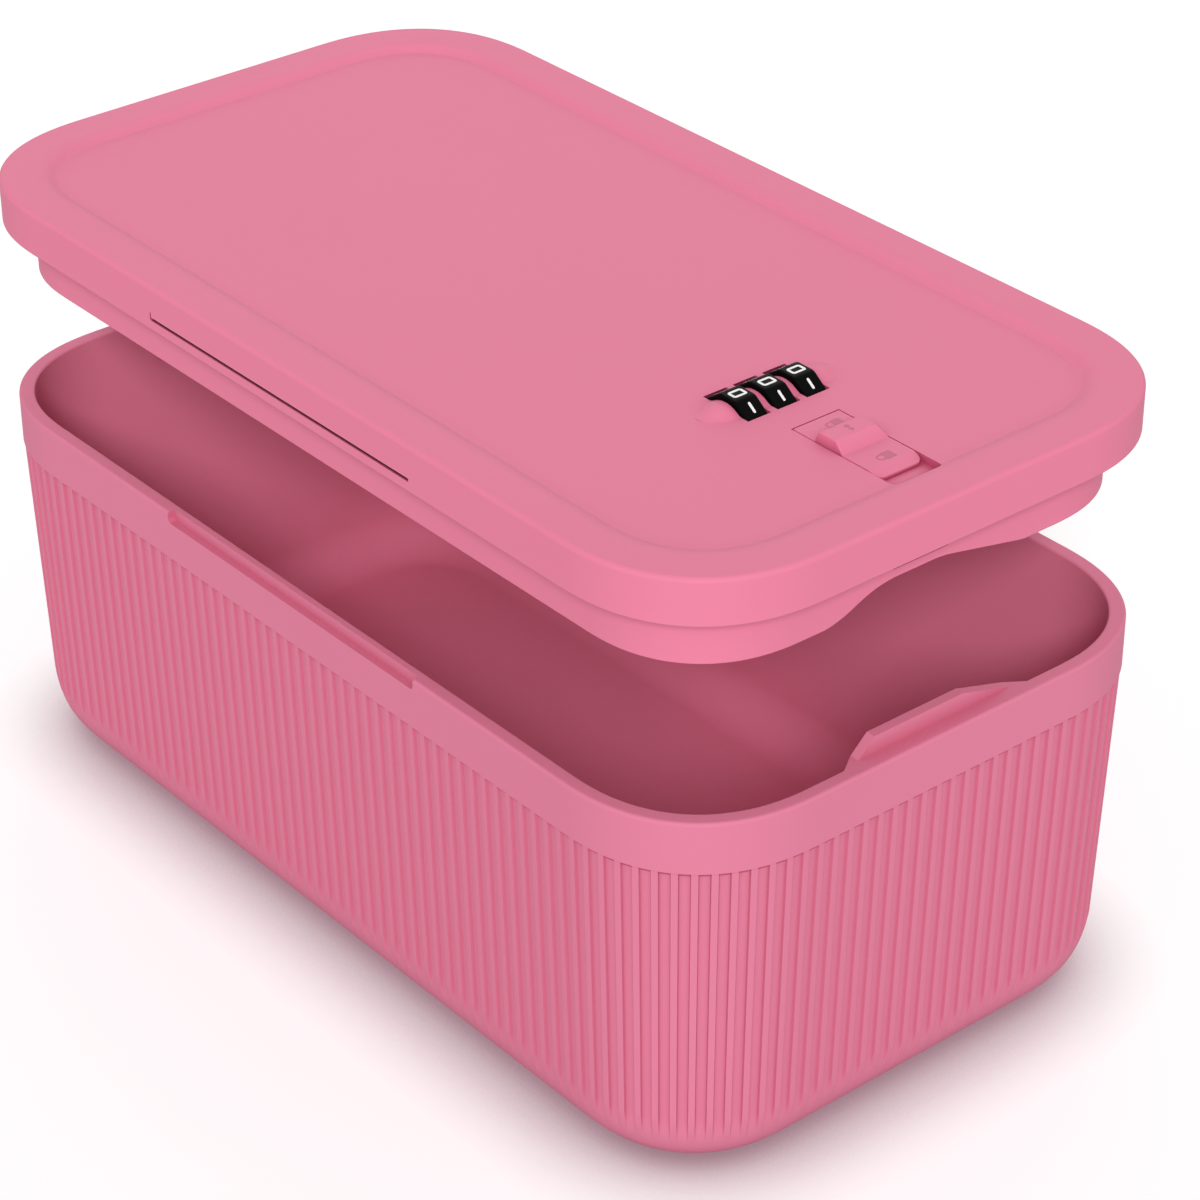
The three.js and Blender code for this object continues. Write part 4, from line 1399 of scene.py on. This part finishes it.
LOOP = Stroke(((-1, -1), (1, -1), (1, 1), (-1, 1)), True)
DIGITS: tuple[tuple[Stroke, ...], ...] = (
    (LOOP,),
    (Stroke(((0, -1), (0, 1))),),
    (Stroke(((-1, 1), (1, 1), (1, 0), (-1, 0), (-1, -1), (1, -1))),),
    (Stroke(((-1, 1), (1, 1), (1, -1), (-1, -1))), Stroke(((-0.5, 0), (1, 0)))),
    (Stroke(((-1, 1), (-1, -0.2), (1, -0.2))), Stroke(((0.6, 1), (0.6, -1)))),
    (Stroke(((1, 1), (-1, 1), (-1, 0), (1, 0), (1, -1), (-1, -1))),),
    (Stroke(((-1, -1), (1, -1), (1, 0.1), (-1, 0.1)), True), Stroke(((1, 1), (-1, 1), (-1, -0.5)))),
    (Stroke(((-1, 1), (1, 1), (1, -1))),),
    (LOOP, Stroke(((-1, 0), (1, 0)))),
    (Stroke(((-1, -0.1), (1, -0.1), (1, 1), (-1, 1)), True), Stroke(((1, 0.5), (1, -1), (-1, -1)))),
)


@dataclass
class Dial:
    """One dial of the lock, with ten digits.

    Attributes:
        number: Which dial it is, from 1.
        place: Where the lock's pieces stand.
        side_ease: How far in the dial's sides are rounded, as steps of a setback and an inset.
        digit_size: The digits' width along the axle and height round the dial.
        ink_sink: How far the ink reaches into the plastic, so that it has no open edge.
    """

    number: int
    place: LockPlace
    facets: int = 10
    facet_ease: float = 2.2
    bore: float = 4.75
    side_ease: tuple[Point2, ...] = ((0.0, 0.5), (0.12, 0.24), (0.3, 0.07), (0.6, 0.0))
    digit_size: Point2 = (4.3, 3.1)
    stroke: float = 0.74
    digit_round: float = 0.5
    round_steps: int = 5
    ink_sink: float = 0.15
    ink_proud: float = 0.03

    @property
    def apothem(self) -> float:
        """From the axle to a facet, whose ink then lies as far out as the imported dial."""
        return self.place.dial_corner * math.cos(math.pi / self.facets) - self.ink_proud

    def outline(self, inset: float) -> np.ndarray:
        """Gives the dial's outline round the axle: ten facets with soft edges."""
        corners = circle(self.apothem / math.cos(math.pi / self.facets), self.facets, phase=180 / self.facets)
        rounded = np.array(filleted(corners, self.facet_ease, self.round_steps))
        return rounded * (1 - inset / self.apothem)

    def wheel(self) -> Form:
        """Makes the dial, bored through."""
        half = self.place.dial_width / 2
        centre = np.array((self.place.axle_z, self.place.axle_x))
        plain = self.outline(0.0)
        bore = plain / np.linalg.norm(plain, axis=1)[:, None] * self.bore
        rows = [(bore, -half)]
        rows += [(self.outline(inset), setback - half) for setback, inset in self.side_ease]
        rows += [(self.outline(inset), half - setback) for setback, inset in reversed(self.side_ease)]
        rows.append((bore, half))
        middle = self.place.dial_ys[self.number - 1]
        rings = [flat_ring(Axis.Y, outline + centre, middle + y) for outline, y in rows]
        return loft(rings, closed=True)

    def facet_place(self, digit: int) -> Matrix:
        """Gives where a digit's own axes lie: along the axle, back up the dial, and out of its facet."""
        upright = Matrix(((0, -1, 0, 0), (1, 0, 0, 0), (0, 0, 1, self.apothem), (0, 0, 0, 1)))
        turn = Matrix.Rotation(digit * FULL_TURN / self.facets, 4, "Y")
        middle = self.place.dial_ys[self.number - 1]
        return Matrix.Translation((self.place.axle_x, middle, self.place.axle_z)) @ turn @ upright

    def digits(self) -> bpy.types.Mesh:
        """Makes the ten digits' ink."""
        half_width = (self.digit_size[0] - self.stroke) / 2
        half_height = (self.digit_size[1] - self.stroke) / 2
        layers: list[list[Form]] = [[], []]
        for digit, strokes in enumerate(DIGITS):
            for layer, stroke in zip(layers, strokes):
                corners = [(x * half_width, y * half_height) for x, y in stroke.corners]
                line = filleted(corners, self.digit_round, self.round_steps, stroke.closed)
                form = ribbon(line, self.stroke, -self.ink_sink, self.ink_proud, stroke.closed)
                layer.append(form.placed(self.facet_place(digit)))
        return carved(f"dial_digits_{self.number}", merged(layers[0]), [(Cut.ADD, merged(layers[1]))])

    def build(self, finishes: Finishes) -> None:
        """Makes the dial and its digits and puts them into the scene.

        Args:
            finishes: The object's finishes.
        """
        lift = Matrix.Translation((0, 0, self.place.lid_top * MM))
        body = f"dial_{self.number}"
        wheel = self.wheel().mesh(f"{body}_wheel")
        wheel.transform(lift)
        show(wheel.name, wheel, finishes.dial_black, body, [f"dial_wheel_{self.number}"])
        digits = self.digits()
        digits.transform(lift)
        show(digits.name, digits, finishes.white_ink, body)


@dataclass
class Button:
    """The slide button, with its thumb ridge, stem and printed signs.

    Attributes:
        place: Where the lock's pieces stand.
        panel: The lid's panel, which the button's plate is level with.
        nose: How far the plate falls to its front end.
        ridge: The ridge's back, its top's back and front, its foot and the nose's bend, as shares of length.
        ridge_lean: How far the ridge's ends lean in at its top.
        corners: How far the plate's rear and front corners are rounded, seen from above.
        waist: How far up its sides are upright, as a share.
        open_sign: The middle of the open padlock's body, from the button's rear end and middle line.
        shut_sign: The middle of the closed padlock's body.
        arrow_sign: The middle of the arrow.
        arrow_size: The arrow's length, its heads' length and half their width.
    """

    place: LockPlace
    panel: float
    thickness: float = 1.7
    rise: float = 2.3
    nose: float = 1.0
    ridge: tuple[float, ...] = (0.265, 0.285, 0.47, 0.59, 0.88)
    ridge_lean: float = 0.9
    edge_round: float = 0.45
    end_draft: float = 0.15
    corners: Point2 = (0.7, 2.4)
    waist: float = 0.8
    round_steps: int = 5
    fineness: float = 0.3
    stem_start: float = 6.5
    stem_length: float = 14.0
    stem_half: float = 4.0
    stem_foot: float = -16.703
    screw_shares: Point2 = (0.25, 0.75)
    screw_hole: float = 1.2
    screw_hole_depth: float = 6.0
    screw_hole_steps: int = 24
    ink_sink: float = 0.15
    ink_proud: float = 0.03
    lock_body: Point2 = (3.1, 2.9)
    lock_corner: float = 0.3
    shackle_width: float = 2.0
    shackle_rise: float = 1.8
    shackle_line: float = 0.5
    shackle_gap: float = 0.7
    shackle_steps: int = 12
    open_sign: Point2 = (4.4, 2.9)
    shut_sign: Point2 = (23.2, 1.3)
    arrow_sign: Point2 = (11.0, 0.3)
    arrow_size: Point3 = (3.4, 1.2, 0.85)
    arrow_shaft: float = 0.24

    @property
    def under(self) -> float:
        """The plate's underside."""
        return self.panel - self.thickness

    def crest_line(self) -> list[Point2]:
        """Gives the plate's top along its length, as places along x and heights, in small steps."""
        start, length = self.place.button_start, self.place.button_length
        back, back_top, crest, foot, bend = (start + share * length for share in self.ridge)
        end = start + length
        low = self.under + self.edge_round
        crown = self.panel + self.rise
        line = filleted([
            (start, low), (start + self.end_draft, self.panel), (back, self.panel), (back_top, crown),
            (crest, crown), (foot, self.panel), (bend, self.panel),
            (end - self.end_draft, self.panel - self.nose), (end, low),
        ], self.edge_round, self.round_steps, closed=False)
        fine = line[:1]
        for a, b in zip(line, line[1:]):
            count = math.ceil(math.dist(a, b) / self.fineness)
            shares = [step / count for step in range(1, count + 1)]
            fine += [(a[0] + (b[0] - a[0]) * share, a[1] + (b[1] - a[1]) * share) for share in shares]
        return fine

    def across(self, x: float, top: float) -> np.ndarray:
        """Gives the plate's outline across, at a place along x where its top is so high."""
        half = self.place.button_width / 2
        rear_reach = x - self.place.button_start
        for corner, reach in zip(self.corners, (rear_reach, self.place.button_length - rear_reach)):
            if reach < corner:
                half -= corner - math.sqrt(max(corner ** 2 - (corner - reach) ** 2, 0.0))
        lean = self.ridge_lean * max(top - self.panel, 0.0) / self.rise
        ease = min(self.edge_round, (top - self.under) / 2)
        waist = self.under + (min(self.panel, top) - ease - self.under) * self.waist
        shoulder = half - lean - ease
        edge = arc((shoulder, top - ease), ease, 0, 90, self.round_steps)
        right = [(half, self.under), (half, waist), *edge]
        return flat_ring(Axis.X, [*right, *[(-y, z) for y, z in reversed(right)]], x)

    def plate(self) -> Form:
        """Makes the plate with its ridge."""
        return loft([self.across(x, top) for x, top in self.crest_line()])

    def arrow(self, x: float, y: float, low: float, high: float) -> Form:
        """Makes a small arrow with two heads, along the way that the button slides."""
        length, head, spread = self.arrow_size
        neck = length / 2 - head
        shaft = self.arrow_shaft
        half = [(-length / 2, 0.0), (-neck, -spread), (-neck, -shaft), (neck, -shaft), (neck, -spread)]
        return prism(Axis.Z, [(x + way * a, y + way * b) for way in (1, -1) for a, b in half], low, high)

    def padlock(self, x: float, y: float, low: float, high: float, is_open: bool) -> tuple[Form, Form]:
        """Makes a padlock sign that lies on its side, its shackle towards -y.

        Args:
            x: The middle of its body.
            y: The middle of its body.
            low: The ink's underside.
            high: The ink's face.
            is_open: True if one leg of the shackle ends short of the body.

        Returns:
            The body and the shackle.
        """
        width, height = self.lock_body
        corners = [
            (x - width / 2, y - height / 2), (x + width / 2, y - height / 2),
            (x + width / 2, y + height / 2), (x - width / 2, y + height / 2),
        ]
        body = prism(Axis.Z, filleted(corners, self.lock_corner), low, high)
        half = self.shackle_width / 2
        edge = y - height / 2
        crown = edge - self.shackle_rise + half
        near, far = edge + self.shackle_line, edge - self.shackle_gap
        bow = arc((x, crown), half, 180, 360, self.shackle_steps)
        line = [(x - half, far if is_open else near), *bow, (x + half, near)]
        return body, ribbon(line, self.shackle_line, low, high, False)

    def signs(self) -> bpy.types.Mesh:
        """Makes the printed signs."""
        start = self.place.button_start
        low, high = self.panel - self.ink_sink, self.panel + self.ink_proud
        x, y = self.arrow_sign
        arrow = self.arrow(start + x, y, low + self.rise, high + self.rise)
        bodies, shackles = zip(*(
            self.padlock(start + x, y, low, high, is_open)
            for (x, y), is_open in ((self.open_sign, True), (self.shut_sign, False))
        ))
        return carved("button_signs", merged([*bodies, arrow]), [(Cut.ADD, merged(shackles))])

    def build(self, finishes: Finishes) -> None:
        """Makes the button and puts it into the scene.

        Args:
            finishes: The object's finishes.
        """
        x = self.place.button_start + self.stem_start
        top = self.panel - self.thickness / 2
        stem = block((x, -self.stem_half, self.stem_foot), (x + self.stem_length, self.stem_half, top))
        low, high = self.stem_foot - OVERRUN, self.stem_foot + self.screw_hole_depth
        places = [(x + share * self.stem_length, 0.0) for share in self.screw_shares]
        outlines = [circle(self.screw_hole, self.screw_hole_steps, place) for place in places]
        holes = merged(prism(Axis.Z, outline, low, high) for outline in outlines)
        mesh = carved("thumb_button", self.plate(), [(Cut.ADD, stem), (Cut.TAKE, holes)])
        lift = Matrix.Translation((0, 0, self.place.lid_top * MM))
        mesh.transform(lift)
        show("thumb_button", mesh, finishes.lid_pink, "latch", ["slide_button"])
        signs = self.signs()
        signs.transform(lift)
        show("button_signs", signs, finishes.rose_ink, "latch")


@dataclass
class Spring:
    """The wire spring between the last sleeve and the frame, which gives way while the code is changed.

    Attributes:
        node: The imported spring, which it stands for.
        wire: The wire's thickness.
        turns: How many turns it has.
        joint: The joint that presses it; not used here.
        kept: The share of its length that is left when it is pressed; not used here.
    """

    node: str = "axle_spring"
    wire: float = 0.4
    turns: int = 2
    turn_steps: int = 28
    wire_steps: int = 12
    joint: str = "code_shift"
    kept: float = 0.52

    def coil(self) -> Form:
        """Winds the wire round the axle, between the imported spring's ends."""
        low, high = extent(self.node)
        middle = (low + high) / 2
        radius = (high.x - low.x - self.wire) / 2
        axle = np.array((0.0, 1.0, 0.0))
        section = circle(self.wire / 2, self.wire_steps)
        rings = []
        for share in np.linspace(0, 1, self.turns * self.turn_steps + 1):
            turn = share * self.turns * FULL_TURN
            out = np.array((math.cos(turn), 0.0, math.sin(turn)))
            along = low.y + self.wire / 2 + share * (high.y - low.y - self.wire)
            centre = np.array((middle.x, along, middle.z)) + radius * out
            rings.append(np.array([centre + a * out + b * axle for a, b in section]))
        return loft(rings)

    def build(self, finishes: Finishes) -> None:
        """Makes the spring and puts it into the scene.

        Args:
            finishes: The object's finishes.
        """
        mesh = self.coil().mesh("axle_spring_coil")
        piece = show(mesh.name, mesh, finishes.steel, "lid", [self.node])
        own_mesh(piece)


class Hardware:
    """The lock's inner pieces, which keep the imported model's shape and get their finishes here."""

    def dress(self, finishes: Finishes) -> None:
        """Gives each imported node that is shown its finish.

        Args:
            finishes: The object's finishes.
        """
        steel = [
            "dial_axle", "axle_clip", "detent_spring", "detent_screw_1", "detent_screw_2",
            "button_screw_1", "button_screw_2", *(f"cover_screw_{i}" for i in (1, 2, 3, 4)),
        ]
        zinc = ["latch_bolt", *(f"code_sleeve_{i}" for i in (1, 2, 3))]
        chosen = {
            **dict.fromkeys(steel, finishes.steel), **dict.fromkeys(zinc, finishes.zinc),
            **dict.fromkeys(("lock_frame", "reset_pin"), finishes.frame_grey),
            "lock_cover": finishes.lid_pink,
        }
        for name, material in chosen.items():
            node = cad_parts[name]
            for slot in node.material_slots:
                slot.material = material
            LOG.info("%s: packed shape in %s", name, material.name)


# Studio


@dataclass(frozen=True)
class Lamp:
    """A soft lamp so far away that it lights evenly.

    Attributes:
        name: The lamp's name.
        azimuth: Its place round the object, in degrees.
        elevation: Its height over the horizon, in degrees.
        level: How bright it lights a face turned to it, where 1 is white.
        spread: How wide it looks from the object, in degrees.
    """

    name: str
    azimuth: float
    elevation: float
    level: float
    spread: float


@dataclass
class Studio:
    """The floor, the light and the camera.

    Attributes:
        azimuth: The camera's place round the object, in degrees.
        elevation: Its height over the horizon, in degrees.
        distance: From the camera to its target, in millimetres.
        target: What it looks at, in millimetres.
        roll: How far it leans, in degrees.
        lens: Its focal length on a 36 mm frame.
        sky: How bright the surroundings light the object, where 1 is white.
        floor_bounce: How much of its light the floor throws back at the object.
        floor_albedo: The floor's whiteness for the eye.
        floor_glow: What the floor adds for the eye, so that it looks white where no shadow falls.
        painted_shadow_colour: The colour of the shadow painted on the floor right under the object, sRGB.
        painted_shadow_reach: How far from the object the painted shadow reaches, in millimetres.
        painted_shadow_range: The shares of open sky at which the painted shadow is full and gone.
        lamps: One lamp on the camera's side, which reaches into the bin, and a weaker one for the far sides.
    """

    azimuth: float = 50.324
    elevation: float = 31.498
    distance: float = 977.8
    target: Point3 = (5.665, 14.166, 69.607)
    roll: float = -0.10
    lens: float = 110.07
    sky: float = 0.49
    floor_bounce: float = 0.7
    floor_albedo: float = 0.7
    floor_glow: float = 0.42
    floor_size: float = 30.0
    painted_shadow_colour: str = "#b08d9a"
    painted_shadow_reach: float = 26.0
    painted_shadow_range: Point2 = (0.25, 0.9)
    lamps: tuple[Lamp, ...] = (
        Lamp("key", 49.0, 32.5, level=0.63, spread=14.0), Lamp("fill", 229.0, 12.0, level=0.25, spread=60.0),
    )

    @staticmethod
    def direction(azimuth: float, elevation: float) -> Vector:
        """Gives the way out from the object to a place round it, both angles in degrees."""
        turn, rise = math.radians(azimuth), math.radians(elevation)
        return Vector((math.sin(turn) * math.cos(rise), -math.cos(turn) * math.cos(rise), math.sin(rise)))

    @staticmethod
    def eye(tree: bpy.types.NodeTree) -> bpy.types.NodeSocket:
        """Adds what is 1 for rays from the eye, also mirrored or through glass, and 0 for light."""
        rays = add_node(tree, "ShaderNodeLightPath", {}).outputs
        seen = rays["Is Camera Ray"]
        for way in ("Is Glossy Ray", "Is Transmission Ray"):
            seen = add_node(tree, "ShaderNodeMath", {0: seen, 1: rays[way]}, operation="MAXIMUM").outputs[0]
        return seen

    def floor(self) -> None:
        """Lays a plain white floor that keeps the object's shadow from the lamps and the sky, with a painted
        shadow that darkens it close to the object.
        """
        material = bpy.data.materials.new("studio_floor")
        material.use_nodes = True
        tree = material.node_tree
        tree.nodes.clear()
        eye = self.eye(tree)
        ends = {"Value": eye, "To Min": self.floor_bounce, "To Max": self.floor_albedo}
        whiteness = add_node(tree, "ShaderNodeMapRange", ends).outputs["Result"]
        # Painted shadow: near the object the floor's colour, and its glow, run to the shadow colour.
        unshaded_share = Finish.painted_shade_mask(tree, self.painted_shadow_reach, *self.painted_shadow_range)
        shade = Finish.tinted(tree, unshaded_share, self.painted_shadow_colour, "#ffffff")
        colour = add_node(tree, "ShaderNodeVectorMath", {0: shade, 1: whiteness}, operation="MULTIPLY")
        matt = add_node(tree, "ShaderNodeBsdfDiffuse", {"Color": colour.outputs["Vector"]})
        strength = add_node(tree, "ShaderNodeMath", {0: eye, 1: self.floor_glow}, operation="MULTIPLY")
        glow = add_node(tree, "ShaderNodeEmission", {"Color": shade, "Strength": strength.outputs[0]})
        both = add_node(tree, "ShaderNodeAddShader", {0: matt.outputs[0], 1: glow.outputs[0]})
        add_node(tree, "ShaderNodeOutputMaterial", {"Surface": both.outputs[0]})
        half = self.floor_size / 2
        mesh = bpy.data.meshes.new("floor")
        corners = [(-half, -half, 0), (half, -half, 0), (half, half, 0), (-half, half, 0)]
        mesh.from_pydata(corners, [], [(0, 1, 2, 3)])
        mesh.materials.append(material)
        floor = bpy.data.objects.new("floor", mesh)
        bpy.context.scene.collection.objects.link(floor)

    def light(self) -> None:
        """Lights the object from all round and by the lamps."""
        world = bpy.data.worlds.new("studio")
        bpy.context.scene.world = world
        world.use_nodes = True
        tree = world.node_tree
        tree.nodes.clear()
        ends = {"Value": self.eye(tree), "To Min": self.sky, "To Max": 1.0}
        strength = add_node(tree, "ShaderNodeMapRange", ends)
        colours = {"Color": (1.0, 1.0, 1.0, 1.0), "Strength": strength.outputs["Result"]}
        sky = add_node(tree, "ShaderNodeBackground", colours)
        add_node(tree, "ShaderNodeOutputWorld", {"Surface": sky.outputs[0]})
        for lamp in self.lamps:
            data = bpy.data.lights.new(lamp.name, "SUN")
            data.angle = math.radians(lamp.spread)
            data.energy = lamp.level * math.pi
            placed = bpy.data.objects.new(lamp.name, data)
            way = self.direction(lamp.azimuth, lamp.elevation)
            placed.rotation_euler = way.to_track_quat("Z", "Y").to_euler()
            bpy.context.scene.collection.objects.link(placed)

    def camera(self) -> None:
        """Places the camera at the photograph's angle."""
        data = bpy.data.cameras.new("camera")
        data.lens = self.lens
        data.sensor_width = 36.0
        back = self.direction(self.azimuth, self.elevation)
        camera = bpy.data.objects.new("camera", data)
        lean = Matrix.Rotation(math.radians(self.roll), 4, "Z")
        camera.matrix_world = (
            Matrix.Translation((Vector(self.target) + back * self.distance) * MM)
            @ back.to_track_quat("Z", "Y").to_matrix().to_4x4() @ lean
        )
        bpy.context.scene.collection.objects.link(camera)
        bpy.context.scene.camera = camera

    def build(self) -> None:
        """Sets up the floor, the light, the camera and the view."""
        self.floor()
        self.light()
        self.camera()
        bpy.context.scene.view_settings.view_transform = "Standard"


def main() -> None:
    """Builds the object, the stage and the camera."""
    logging.basicConfig(level=logging.INFO, format="%(name)s: %(message)s")
    Studio().build()
    finishes = Finishes()
    low, high = extent("bin_shell")
    plan = Plan(high.x - low.x, high.y - low.y)
    Bin(plan).build(finishes)
    place = LockPlace.read(Lid.rim_height + Lid.skirt_drop)
    lid = Lid(plan, place)
    lid.build(finishes)
    for number in (1, 2, 3):
        Dial(number, place).build(finishes)
    Button(place, lid.panel).build(finishes)
    Spring().build(finishes)
    Hardware().dress(finishes)


if __name__ == "__main__":
    main()
